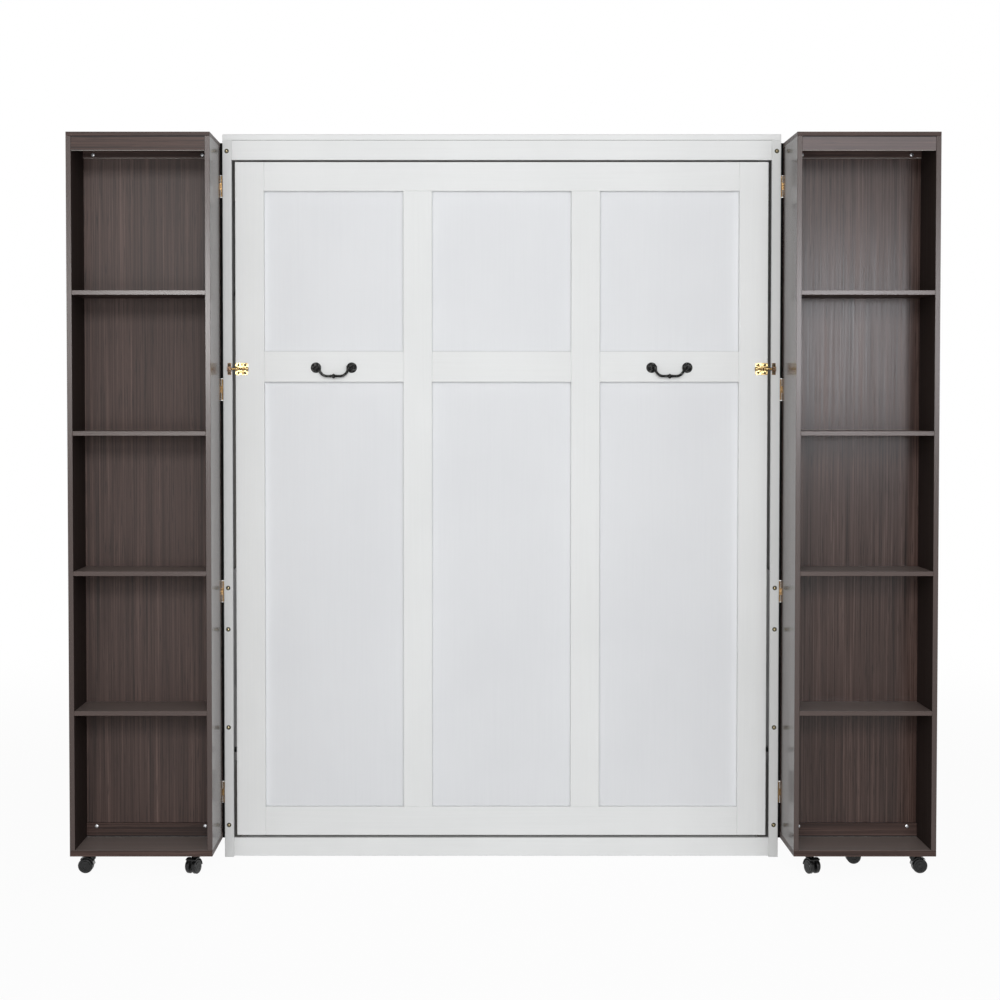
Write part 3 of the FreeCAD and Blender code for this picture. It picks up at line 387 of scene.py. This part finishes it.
def espresso_laminate(
    name, axis, gloss, specular=LAMINATE_SPECULAR,
    band=None, sides=None, dull=None, sheen_plane=None, seams=None, dust_and_top_light=0, underside_light=0,
):
    """Dark brown wood-grain laminate: bands, fine streaks and short dark pores.

    Band gives the front and the rear plane of boards: their front faces are smooth, clear-coated edge band,
    their rear edges are black, as painted shade. Between the two values of sides, measured from the
    middle plane, faces are duller, and darker by painted shade, and outside them polished. The left side is
    less polished, and places on it lower than dull still less. On the right, faces at the given front plane
    are lighter: a painted sheen. Edges at the two heights seams are in shadow. Tops are lightened by painted
    light from above, and undersides by painted light from the floor, each by a share given as an argument."""
    material, f = new_finish(name)
    bands = f.noise(cycles(0.9, 62.0, axis), 3.0, 0.8)
    streaks = f.noise(cycles(1.8, 250.0, axis), 4.0, 0.3)
    pores = f.noise(cycles(11.0, 430.0, axis), 2.0)
    figure = bands * 0.45 + streaks * 0.55
    pore = f.spread(pores, 0.58, 0.70)
    colour = f.mixed(pore * PORE_SHARE, f.colours(figure, *LAMINATE_BROWNS), PORE_BROWN)
    roughness = f.spread(streaks, 0.3, 0.7, *gloss)
    relief = streaks * 0.4 - pore * 0.3
    coat = 0.0
    if sides is not None:
        off_middle = f.off_middle()
        outside = 1.0 - f.beyond(off_middle, sides[0]) + f.beyond(off_middle, sides[1] - sum(FACE_BLEND))
        roughness = roughness + outside * (OUTER_SIDE_ROUGHNESS - roughness)
        # Inside faces of the sides are darkened: painted shade.
        colour = f.mixed((1.0 - outside) * INNER_SIDE_SHADE_SHARE, colour, INNER_SIDE_PAINTED_SHADE)
    if dull is not None:
        left = 1.0 - f.beyond(f.axis_value("X"), 0.0)
        worn = f.spread(f.axis_value("Z"), dull, dull + FACE_BLEND[1], DULL_ROUGHNESS, LEFT_ROUGHNESS)
        roughness = roughness + left * (worn - roughness)
    if band is not None:
        front = 1.0 - f.beyond(f.axis_value("Y"), band[0])
        rear = f.beyond(f.axis_value("Y"), band[1] - REAR_EDGE)
        roughness = roughness + front * (EDGE_BAND_ROUGHNESS - roughness)
        colour = f.mixed(front * EDGE_BAND_SHARE, colour, EDGE_BAND_BROWN)
        # The rear edges are coloured black as painted shade in the hinge gap.
        colour = f.mixed(rear, colour, REAR_EDGE_PAINTED_SHADE)
        relief = relief * (1.0 - front)
        coat = front * EDGE_BAND_COAT
    if sheen_plane is not None:
        # A painted sheen on the fronts of the right rails.
        pale = f.beyond(f.axis_value("X"), 0.0) * (1.0 - f.beyond(f.axis_value("Y"), sheen_plane))
        colour = f.mixed(pale, colour, RIGHT_RAIL_PAINTED_SHEEN, "ADD")
    if seams is not None:
        height = f.axis_value("Z")
        shadow = 1.0 - f.beyond(height, seams[0] + SEAM_HEIGHT) + f.beyond(height, seams[1] - SEAM_HEIGHT)
        colour = f.mixed(shadow, colour, RAIL_SEAM)
    if dust_and_top_light:
        # Painted light on faces that look up.
        colour = f.mixed(f.spread(f.looks_up(), *FACES_UP) * dust_and_top_light, colour, TOP_PAINTED_LIGHT, "ADD")
    if underside_light:
        # Painted light from the floor on faces that look down.
        colour = f.mixed((1.0 - f.spread(f.looks_up(), *FACES_DOWN)) * underside_light, colour, UNDERSIDE_PAINTED_LIGHT)
    f.surface(
        Base_Color=colour,
        Roughness=roughness,
        Specular_IOR_Level=specular,
        Coat_Weight=coat,
        Coat_Roughness=EDGE_BAND_ROUGHNESS,
        Normal=f.bumped(relief, 0.00010, 0.4),
    )
    return material


def pine(name, axis):
    """Clear-lacquered pine with darker late wood and a few knots."""
    material, f = new_finish(name)
    drift = f.noise(cycles(1.2, 14.0, axis), 2.0, 1.2)
    late = f.spread(drift.maths("SINE", drift * 42.0), -0.2, 0.95)
    fibre = f.noise(cycles(9.0, 700.0, axis), 3.0)
    knots = f.cells(cycles(1.6, 9.0, axis))
    knot = 1.0 - f.spread(knots, 0.03, 0.12)
    board = f.mixed(late * 0.7, PINE_EARLY, PINE_LATE)
    board = f.mixed(fibre * 0.25, board, PINE_FIBRE)
    f.surface(
        Base_Color=f.mixed(knot, board, PINE_KNOT),
        Roughness=f.spread(late, 0.0, 1.0, 0.42, 0.55),
        Normal=f.bumped(fibre * 0.5 + late * 0.3, 0.00015, 0.5),
    )
    return material


def brass(name, bright, tarnished):
    """Bright brass, tarnished in places."""
    material, f = new_finish(name)
    tarnish = f.spread(f.noise(even(130.0), 4.0, 0.5), 0.40, 0.68)
    scuffs = f.noise((2600.0, 900.0, 900.0), 2.0)
    f.surface(
        Base_Color=f.mixed(tarnish * tarnished, bright, TARNISH),
        Metallic=1.0,
        Roughness=f.spread(tarnish * 0.6 + scuffs * 0.4, 0.1, 0.9, 0.16, 0.42),
        Normal=f.bumped(scuffs, 0.00003, 0.4),
    )
    return material


def dark_bronze(name):
    """Dark bronze with a greenish cast, rubbed lighter on its high spots."""
    material, f = new_finish(name)
    rubbed = f.spread(f.noise(even(420.0), 3.0), 0.5, 0.75)
    f.surface(
        Base_Color=f.mixed(rubbed * 0.6, BRONZE_DARK, BRONZE_RUBBED),
        Metallic=0.8,
        Roughness=f.spread(rubbed, 0.0, 1.0, 0.42, 0.30),
        Normal=f.bumped(rubbed, 0.00003, 0.4),
    )
    return material


def hammered_iron(name):
    """Black iron with hammer marks and worn high spots."""
    material, f = new_finish(name)
    marks = f.cells(even(165.0))
    skin = f.noise(even(900.0), 3.0)
    high = f.spread(marks, 0.42, 0.85)
    f.surface(
        Base_Color=f.mixed(high * 0.85 + skin * 0.1, IRON_BLACK, IRON_WORN),
        Metallic=0.35,
        Roughness=f.spread(skin, 0.3, 0.7, 0.38, 0.58),
        Specular_IOR_Level=0.15,
        Normal=f.bumped(marks * 0.8 + skin * 0.2, 0.0009, 0.8),
    )
    return material


def zinc_steel(name):
    """Zinc-plated steel with a faint spangle."""
    material, f = new_finish(name)
    spangle = f.cells(even(95.0))
    haze = f.noise(even(38.0), 4.0)
    f.surface(
        Base_Color=f.mixed(spangle * 0.5 + haze * 0.5, ZINC_DULL, ZINC_BRIGHT),
        Metallic=1.0,
        Roughness=f.spread(haze * 0.6 + spangle * 0.4, 0.2, 0.8, 0.28, 0.46),
        Normal=f.bumped(haze, 0.00004, 0.4),
    )
    return material


def nitrided_steel(name):
    """Steel blackened by nitriding, with faint lines along the rod."""
    material, f = new_finish(name)
    lines = f.noise((1400.0, 1400.0, 30.0), 2.0)
    f.surface(
        Base_Color=f.mixed(lines, NITRIDED_DARK, NITRIDED_LIGHT),
        Metallic=0.9,
        Roughness=f.spread(lines, 0.3, 0.7, 0.26, 0.40),
        Normal=f.bumped(lines, 0.00002, 0.4),
    )
    return material


def powder_black(name):
    """Black powder coat with its fine orange-peel skin."""
    material, f = new_finish(name)
    peel = f.noise(even(1100.0), 2.0)
    rub = f.spread(f.noise((22.0, 22.0, 9.0), 4.0), 0.52, 0.75)
    f.surface(
        Base_Color=f.mixed(rub, POWDER_DARK, POWDER_RUBBED),
        Roughness=f.spread(peel, 0.3, 0.7, 0.42, 0.58),
        Specular_IOR_Level=0.3,
        Normal=f.bumped(peel, 0.00008, 0.6),
    )
    return material


def black_nylon(name, dust_and_top_light):
    """Moulded black nylon with some floor dust."""
    material, f = new_finish(name)
    skin = f.noise(even(1600.0), 2.0)
    dust = f.spread(f.noise(even(90.0), 4.0, 0.6), 0.45, 0.75)
    f.surface(
        Base_Color=f.mixed(dust * dust_and_top_light, NYLON_BLACK, FLOOR_DUST),
        Roughness=f.spread(skin * 0.5 + dust * 0.5, 0.2, 0.8, 0.24, 0.50),
        Specular_IOR_Level=0.35,
        Normal=f.bumped(skin, 0.00006, 0.5),
    )
    return material


def strip_rubber(name):
    """Black rubber with a dull extruded skin."""
    material, f = new_finish(name)
    lines = f.noise((900.0, 900.0, 4.0), 2.0)
    f.surface(
        Base_Color=f.mixed(lines, RUBBER_DARK, RUBBER_LIGHT),
        Roughness=f.spread(lines, 0.3, 0.7, 0.72, 0.9),
        Specular_IOR_Level=0.04,
        Normal=f.bumped(lines, 0.00005, 0.5),
    )
    return material


ALONG_X, ALONG_Z = 0, 2
PAINTED_UPRIGHT = white_paint("painted_upright", ALONG_Z)
# The stiles get the darker white: painted shade.
SHADED_STILE_PAINT = white_paint("stile_paint_with_painted_shade", ALONG_Z, SHADED_STILE_LIGHT, SHADED_STILE_DARK)
SIDE_BOARD_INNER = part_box("right_side_board")[0].x
# Side boards: white outside, and inside a dark primer that is partly painted shade in the door gaps.
PAINTED_SIDE_BOARD = white_paint("painted_side_board", ALONG_Z, primed_within=SIDE_BOARD_INNER)
PAINTED_RAIL = white_paint("painted_rail", ALONG_X)
# The header carries the painted shadow line under the top board.
PAINTED_HEADER = white_paint("painted_header", ALONG_X, seam=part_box("header_rail")[1].z)
PAINTED_PANEL = white_paint("painted_panel", ALONG_Z, PANEL_LIGHT, PANEL_SHADE)
PRIMED = primed_board("primed_board")
CASE_LOW, CASE_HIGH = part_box("right_case_sides")
TOP_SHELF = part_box("left_case_shelves")[1].z
CASE_DEPTH = (CASE_LOW.y, CASE_HIGH.y)
LAMINATE_BACK = espresso_laminate("laminate_back", ALONG_Z, BACK_GLOSS, BACK_SPECULAR, dull=TOP_SHELF)
# Case tops and bases get painted light on their upper faces.
LAMINATE_BOARD = espresso_laminate("laminate_board", ALONG_X, BOARD_GLOSS, dust_and_top_light=0.9)
RAIL_LOW, RAIL_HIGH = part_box("right_case_rails")
# Rails: a painted sheen on the right fronts, and painted light on the undersides.
LAMINATE_RAIL = espresso_laminate(
    "laminate_rail", ALONG_X, BOARD_GLOSS, sheen_plane=RAIL_LOW.y, seams=(RAIL_LOW.z, RAIL_HIGH.z), underside_light=1.0
)
LAMINATE_SIDE = espresso_laminate(
    "laminate_side", ALONG_Z, INNER_SIDE_GLOSS, band=CASE_DEPTH, sides=(CASE_LOW.x, CASE_HIGH.x)
)
# Shelves get painted light on their tops.
LAMINATE_SHELF = espresso_laminate("laminate_shelf", ALONG_X, BOARD_GLOSS, band=CASE_DEPTH, dust_and_top_light=0.6)
PINE_UPRIGHT = pine("pine_upright", ALONG_Z)
PINE_SLAT = pine("pine_slat", ALONG_X)
BRASS = brass("aged_brass", (0.72, 0.62, 0.42), tarnished=0.6)
PLATE_BRASS = brass("plate_brass", (0.36, 0.275, 0.130), tarnished=0.8)
BROWN_BRASS = brass("brown_brass", (0.27, 0.175, 0.075), tarnished=0.6)
KEEPER_BRASS = brass("keeper_brass", (0.085, 0.052, 0.036), tarnished=0.5)
HINGE_BRASS = brass("hinge_brass", (0.23, 0.145, 0.070), tarnished=0.9)
BRONZE = dark_bronze("dark_bronze")
IRON = hammered_iron("hammered_iron")
ZINC = zinc_steel("zinc_steel")
NITRIDED = nitrided_steel("nitrided_steel")
POWDER_BLACK = powder_black("powder_black")
NYLON = black_nylon("black_nylon", dust_and_top_light=0.08)
ROLLING_NYLON = black_nylon("rolling_nylon", dust_and_top_light=0.22)
RUBBER = strip_rubber("strip_rubber")
SLOT_FINISH = {
    "white_paint": PAINTED_UPRIGHT,
    "espresso_laminate": LAMINATE_BACK,
    "pine": PINE_SLAT,
    "brass": BRASS,
    "black_iron": IRON,
    "steel": ZINC,
    "black_steel": POWDER_BLACK,
    "caster_plastic": NYLON,
    "strip_rubber": RUBBER,
}
NODE_FINISH = {
    "face_panel": PAINTED_PANEL,
    "front_stiles": SHADED_STILE_PAINT,
    "left_side_board": PAINTED_SIDE_BOARD,
    "right_side_board": PAINTED_SIDE_BOARD,
    "top_board": PAINTED_RAIL,
    "header_rail": PAINTED_HEADER,
    "toe_rail": PAINTED_RAIL,
    "face_rails": PAINTED_RAIL,
    "face_mid_rails": PAINTED_RAIL,
    # Primed rails, dark enough to act as painted shade through the door gaps.
    "wall_rails": PRIMED,
    "bed_side_rails": PRIMED,
    "bed_end_rails": PRIMED,
    "centre_beam": PINE_UPRIGHT,
    "pivot_plates": POWDER_BLACK,
    "left_strut_rod": NITRIDED,
    "right_strut_rod": NITRIDED,
    "bolt_bodies": PLATE_BRASS,
    "bolt_keepers": KEEPER_BRASS,
    "left_bolt": BROWN_BRASS,
    "right_bolt": BROWN_BRASS,
    "cabinet_hinge_leaves": HINGE_BRASS,
    "left_case_hinge_leaves": HINGE_BRASS,
    "right_case_hinge_leaves": HINGE_BRASS,
}


def node_finish(node):
    """A node's own finish, or that of its slot."""
    if node.endswith(("_case_top", "_case_base")):
        return LAMINATE_BOARD
    if node.endswith("_case_rails"):
        return LAMINATE_RAIL
    if node.endswith("_case_shelves"):
        return LAMINATE_SHELF
    if node.endswith("_case_sides"):
        return LAMINATE_SIDE
    if node.endswith("_wheels"):
        return ROLLING_NYLON
    return NODE_FINISH.get(node, SLOT_FINISH[NODE_SLOT[node]])


def dress_nodes():
    """Puts each node's finish in its slot."""
    for name, node in frame["nodes"].items():
        node.data.materials.clear()
        node.data.materials.append(node_finish(name))


# Fittings


def solids(node):
    """Lowest and highest corners of each separate solid in a node."""
    shape = bmesh.new()
    shape.from_mesh(frame["nodes"][node].data)
    bmesh.ops.remove_doubles(shape, verts=shape.verts, dist=SAME_POINT)
    waiting = set(shape.verts)
    boxes = []
    while waiting:
        edge_of_solid = [waiting.pop()]
        corners = []
        while edge_of_solid:
            vert = edge_of_solid.pop()
            corners.append(vert.co.copy())
            for edge in vert.link_edges:
                other = edge.other_vert(vert)
                if other in waiting:
                    waiting.remove(other)
                    edge_of_solid.append(other)
        spans = list(zip(*corners))
        boxes.append((Vector(map(min, spans)), Vector(map(max, spans))))
    shape.free()
    return boxes


def facing(place, direction):
    """A transform that puts local +Z along a direction at a place."""
    turn = Vector((0, 0, 1)).rotation_difference(Vector(direction)).to_matrix().to_4x4()
    return Matrix.Translation(place) @ turn


def add_cross_head(shape, place, direction, radius, rise):
    """A domed screw head with a cross recess."""
    arm_half = CROSS_ARM_HALF * radius
    arm_reach = CROSS_ARM_REACH * radius
    depth = CROSS_DEPTH * rise
    transform = facing(place, direction)

    def height(x, y):
        dome = rise * (1 - (math.hypot(x, y) / radius) ** HEAD_DOME_POWER)
        in_cross = min(abs(x), abs(y)) < arm_half and max(abs(x), abs(y)) < arm_reach
        return max(dome - depth if in_cross else dome, 0.0)

    def vert(distance, turn):
        x = distance * math.cos(turn)
        y = distance * math.sin(turn)
        return shape.verts.new(transform @ Vector((x, y, height(x, y))))

    reaches = [radius * (ring + 1) / HEAD_RINGS for ring in range(HEAD_RINGS)]
    rows = [[vert(reach, turn) for turn in TURNS] for reach in reaches]
    middle = vert(0.0, 0.0)
    for n in range(TURN_STEPS):
        after = (n + 1) % TURN_STEPS
        shape.faces.new((middle, rows[0][n], rows[0][after]))
        for inner, outer in zip(rows, rows[1:]):
            shape.faces.new((inner[n], outer[n], outer[after], inner[after]))
    shape.faces.new(list(reversed(rows[-1])))


def add_turned(shape, place, direction, profile):
    """A turned piece. The profile gives radius and height, and a first radius of 0 closes it as a cap."""
    transform = facing(place, direction)
    rows = []
    for radius, height in profile:
        if radius == 0:
            rows.append([shape.verts.new(transform @ Vector((0, 0, height)))] * TURN_STEPS)
        else:
            ring = [Vector((radius * math.cos(turn), radius * math.sin(turn), height)) for turn in TURNS]
            rows.append([shape.verts.new(transform @ corner) for corner in ring])
    for inner, outer in zip(rows, rows[1:]):
        for n in range(TURN_STEPS):
            after = (n + 1) % TURN_STEPS
            corners = dict.fromkeys((inner[n], outer[n], outer[after], inner[after]))
            shape.faces.new(list(corners))
    if profile[0][0] == 0:
        shape.faces.new(list(reversed(rows[-1])))
    else:
        for n in range(TURN_STEPS):
            after = (n + 1) % TURN_STEPS
            shape.faces.new((rows[-1][n], rows[0][n], rows[0][after], rows[-1][after]))


def fitted(name, shape, finish, body):
    """A finished piece that moves with a body."""
    bmesh.ops.recalc_face_normals(shape, faces=shape.faces)
    mesh = bpy.data.meshes.new(name)
    shape.to_mesh(mesh)
    shape.free()
    mesh.materials.append(finish)
    mesh.shade_smooth()
    mesh.set_sharp_from_angle(angle=SHARP_ANGLE)
    piece = bpy.data.objects.new(name, mesh)
    bpy.context.scene.collection.objects.link(piece)
    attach(piece, body)
    return piece


def screws(name, places, direction, size, finish, body):
    """Screw heads that all face one way."""
    shape = bmesh.new()
    for place in places:
        add_cross_head(shape, place, direction, **size)
    return fitted(name, shape, finish, body)


def middle_of(box):
    """The centre of a box, from its two corners."""
    return (box[0] + box[1]) / 2


def stile_screws():
    """The brass screws through the front stiles, in place of their plain heads."""
    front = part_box("front_stiles")[0].y
    places = [Vector((middle_of(b).x, front, middle_of(b).z)) for b in solids("frame_screws")]
    piece = screws("stile_screws", places, (0, -1, 0), STILE_SCREW, BRASS, "cabinet")
    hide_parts("frame_screws")
    cups = bmesh.new()
    for place in places:
        add_turned(cups, place, (0, -1, 0), STILE_CUP_PROFILE)
    fitted("stile_screw_cups", cups, BRONZE, "cabinet")


def bolt_screws():
    """Screws at the corners of the bolts' plates and at the keepers' ends."""
    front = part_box("face_uprights")[0].y
    plate_front = front - PLATE_THICK
    plates = []
    for low, high in solids("bolt_bodies"):
        for x in (low.x + PLATE_SCREW_INSET["x"], high.x - PLATE_SCREW_INSET["x"]):
            for z in (low.z + PLATE_SCREW_INSET["z"], high.z - PLATE_SCREW_INSET["z"]):
                plates.append(Vector((x, plate_front, z)))
    screws("bolt_plate_screws", plates, (0, -1, 0), PLATE_SCREW, BRONZE, "bed")
    keepers = []
    for low, high in solids("bolt_keepers"):
        for z in (low.z + PLATE_SCREW_INSET["z"], high.z - PLATE_SCREW_INSET["z"]):
            keepers.append(Vector((middle_of((low, high)).x, plate_front, z)))
    screws("keeper_screws", keepers, (0, -1, 0), PLATE_SCREW, BRONZE, "cabinet")


def leaf_heights(low, high):
    """Evenly spaced screw heights on one hinge leaf."""
    step = (high.z - low.z) / LEAF_SCREWS
    return [low.z + step * (n + 0.5) for n in range(LEAF_SCREWS)]


def hinge_screws():
    """Screws in both leaves of each butt hinge."""
    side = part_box("top_board")[1].x
    for name, sign in (("left", -1), ("right", 1)):
        cabinet = []
        for low, high in solids("cabinet_hinge_leaves"):
            if middle_of((low, high)).x * sign > 0:
                y = high.y - CABINET_LEAF_INSET
                cabinet += [Vector((sign * (side + LEAF_THICK), y, z)) for z in leaf_heights(low, high)]
        outward = (sign, 0, 0)
        screws(f"{name}_cabinet_leaf_screws", cabinet, outward, LEAF_SCREW, HINGE_BRASS, "cabinet")
        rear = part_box(f"{name}_case_sides")[1].y + LEAF_THICK
        case = []
        for low, high in solids(f"{name}_case_hinge_leaves"):
            x = high.x - CASE_LEAF_INSET if sign > 0 else low.x + CASE_LEAF_INSET
            case += [Vector((x, rear, z)) for z in leaf_heights(low, high)]
        body = f"{name}_bookcase"
        screws(f"{name}_case_leaf_screws", case, (0, 1, 0), LEAF_SCREW, HINGE_BRASS, body)


def gap_bulbs():
    """A rubber bulb on each gap strip, round about the hinge's axis, so that the bookcase swings past it."""
    turns = [BULB_HALF_TURN * (2 * n / BULB_STEPS - 1) for n in range(BULB_STEPS + 1)]
    arc = [(BULB_RADIUS * math.cos(turn), BULB_RADIUS * math.sin(turn)) for turn in turns]
    shape = bmesh.new()
    for low, high in solids("hinge_gap_strips"):
        name, sign, face = ("right", 1, high.x) if low.x > 0 else ("left", -1, -low.x)
        axis = Vector(JOINTS[f"{name}_bookcase_swing"]["pos_m"])
        root = face - abs(axis.x) - BULB_ROOT
        outline = [(root, arc[0][1]), *arc, (root, arc[-1][1])]
        ends = [
            [shape.verts.new((axis.x + sign * out, axis.y + back, z)) for out, back in outline]
            for z in (low.z, high.z)
        ]
        for end in ends:
            shape.faces.new(end)
        for n, corner in enumerate(ends[0]):
            shape.faces.new((ends[0][n - 1], corner, ends[1][n], ends[1][n - 1]))
    fitted("gap_strip_bulbs", shape, RUBBER, "cabinet")


def case_connectors():
    """The bright connectors near the ends of each bookcase's rear rails."""
    for name in ("left", "right"):
        places = []
        rear = max(low.y for low, high in solids(f"{name}_case_rails"))
        for low, high in solids(f"{name}_case_rails"):
            if low.y < rear - SAME_PLANE:
                continue
            at_top = low.z > HALF_HEIGHT
            z = low.z + CONNECTOR_EDGE_INSET if at_top else high.z - CONNECTOR_EDGE_INSET
            for x in (low.x + CONNECTOR_SIDE_INSET, high.x - CONNECTOR_SIDE_INSET):
                places.append(Vector((x, low.y, z)))
        screws(f"{name}_rail_connectors", places, (0, -1, 0), CONNECTOR, ZINC, f"{name}_bookcase")


def caster_screws():
    """Four screws up through each caster's plate."""
    for name in ("left", "right"):
        places = []
        for low, high in solids(f"{name}_caster_plates"):
            z = high.z - CASTER_PLATE_THICK
            for x in (low.x + CASTER_SCREW_INSET, high.x - CASTER_SCREW_INSET):
                for y in (low.y + CASTER_SCREW_INSET, high.y - CASTER_SCREW_INSET):
                    places.append(Vector((x, y, z)))
        screws(f"{name}_caster_screws", places, (0, 0, -1), CASTER_SCREW, ZINC, f"{name}_bookcase")


def slat_screws():
    """A screw through each slat into both ledgers and the centre beam."""
    places = []
    for low, high in solids("slats"):
        for x in (low.x + LEDGER_HALF, 0.0, high.x - LEDGER_HALF):
            places.append(Vector((x, high.y, (low.z + high.z) / 2)))
    screws("slat_screws", places, (0, 1, 0), SLAT_SCREW, ZINC, "bed")


def hub_caps():
    """A ringed cap over each wheel's axle end."""
    for node in frame["nodes"]:
        if not node.endswith("_wheels"):
            continue
        caster = node.removesuffix("_wheels")
        roll = JOINTS[f"{caster}_wheel_roll"]
        centre = Vector(roll["pos_m"])
        axle = Vector(roll["axis"]).normalized()
        shape = bmesh.new()
        face = max((vert.co - centre).dot(axle) for vert in frame["nodes"][node].data.vertices)
        for way in (axle, -axle):
            add_turned(shape, centre + way * face, way, HUB_PROFILE)
        fitted(f"{caster}_hub_caps", shape, NYLON, f"{caster}_wheel_pair")


def bail_collars():
    """A thin collar on each side of the bail's middle bead."""
    for name in ("left", "right"):
        low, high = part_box(f"{name}_bail")
        middle = Vector(((low.x + high.x) / 2, (low.y + high.y) / 2, low.z + BAIL_BEAD_RADIUS))
        shape = bmesh.new()
        for step in (-BAIL_COLLAR_STEP, BAIL_COLLAR_STEP):
            add_turned(shape, middle + Vector((step, 0, 0)), (1, 0, 0), BAIL_COLLAR_PROFILE)
        fitted(f"{name}_bail_collars", shape, IRON, f"{name}_bail")


# Studio


def build_floor():
    """A pale floor that shows white and keeps a soft shadow. It doesn't glow under the cabinet."""
    shape = bmesh.new()
    corners = [(-1, -1), (1, -1), (1, 1), (-1, 1)]
    shape.faces.new([shape.verts.new((x * FLOOR_HALF, y * FLOOR_HALF, -FLOOR_DROP)) for x, y in corners])
    mesh = bpy.data.meshes.new("studio_floor")
    shape.to_mesh(mesh)
    shape.free()
    material, f = new_finish("studio_floor")
    seen = seen_rays(f)
    away = f.node("ShaderNodeVectorMath", {"operation": "LENGTH"}, {0: f.point()}, "Value")
    lightness = f.spread(away, *FLOOR_GLOW_SPAN, FLOOR_GLOW_NEAR, 1.0)
    low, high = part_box("top_board")
    outside = f.beyond(f.off_middle(), high.x) + f.beyond(f.axis_value("Y"), high.y)
    outside = outside + 1.0 - f.beyond(f.axis_value("Y"), low.y + TOE_SIGHT)
    lightness = lightness * outside.maths("MINIMUM", outside, 1.0)
    matt = f.node("ShaderNodeBsdfDiffuse", {}, {"Color": (*FLOOR_COLOUR, 1.0)})
    glow = f.node("ShaderNodeEmission", {}, {"Color": (1.0, 1.0, 1.0, 1.0), "Strength": 1.0})
    both = f.node("ShaderNodeMixShader", {}, {0: seen * lightness, 1: matt, 2: glow})
    f.node("ShaderNodeOutputMaterial", {}, {"Surface": both})
    mesh.materials.append(material)
    floor = bpy.data.objects.new("studio_floor", mesh)
    bpy.context.scene.collection.objects.link(floor)


def seen_rays(f):
    """1 for the rays that show the studio itself: to the camera, and in metal or glass."""
    camera = f.node("ShaderNodeLightPath", {}, {}, "Is Camera Ray")
    glossy = f.node("ShaderNodeLightPath", {}, {}, "Is Glossy Ray")
    through = f.node("ShaderNodeLightPath", {}, {}, "Is Transmission Ray")
    rays = camera + glossy + through
    return rays.maths("MINIMUM", rays, 1.0)


def build_world():
    """White to look at, and a soft even light."""
    world = bpy.data.worlds.new("studio")
    world.use_nodes = True
    bpy.context.scene.world = world
    f = Finish(world.node_tree)
    strength = seen_rays(f) * (1.0 - AMBIENT) + AMBIENT
    sky = f.node("ShaderNodeBackground", {}, {"Color": (1.0, 1.0, 1.0, 1.0), "Strength": strength})
    f.node("ShaderNodeOutputWorld", {}, {"Surface": sky})


def build_softboxes():
    """The studio's lamps, all turned to the cabinet."""
    for name, box in SOFTBOXES.items():
        lamp = bpy.data.lights.new(name, "AREA")
        lamp.shape = "RECTANGLE"
        lamp.size, lamp.size_y = box["size"]
        lamp.energy = box["watts"]
        if name == "right_softbox":
            lamp.color = RIGHT_TINT
        rig = bpy.data.objects.new(name, lamp)
        rig.location = box["place"]
        rig.rotation_euler = (Vector(AIM) - rig.location).to_track_quat("-Z", "Y").to_euler()
        bpy.context.scene.collection.objects.link(rig)


def build_camera():
    """The photograph's viewpoint."""
    lens = bpy.data.cameras.new("photo_camera")
    lens.sensor_width = CAMERA_SENSOR
    lens.lens = CAMERA_LENS
    lens.shift_x = CAMERA_SHIFT_X
    rig = bpy.data.objects.new("photo_camera", lens)
    rig.location = CAMERA_PLACE
    rig.rotation_euler = (math.pi / 2 - CAMERA_PITCH, 0.0, 0.0)
    bpy.context.scene.collection.objects.link(rig)
    bpy.context.scene.camera = rig


dress_nodes()
stile_screws()
bolt_screws()
hinge_screws()
gap_bulbs()
case_connectors()
caster_screws()
slat_screws()
hub_caps()
bail_collars()
build_floor()
build_world()
build_softboxes()
build_camera()
bpy.context.scene.view_settings.view_transform = "Standard"
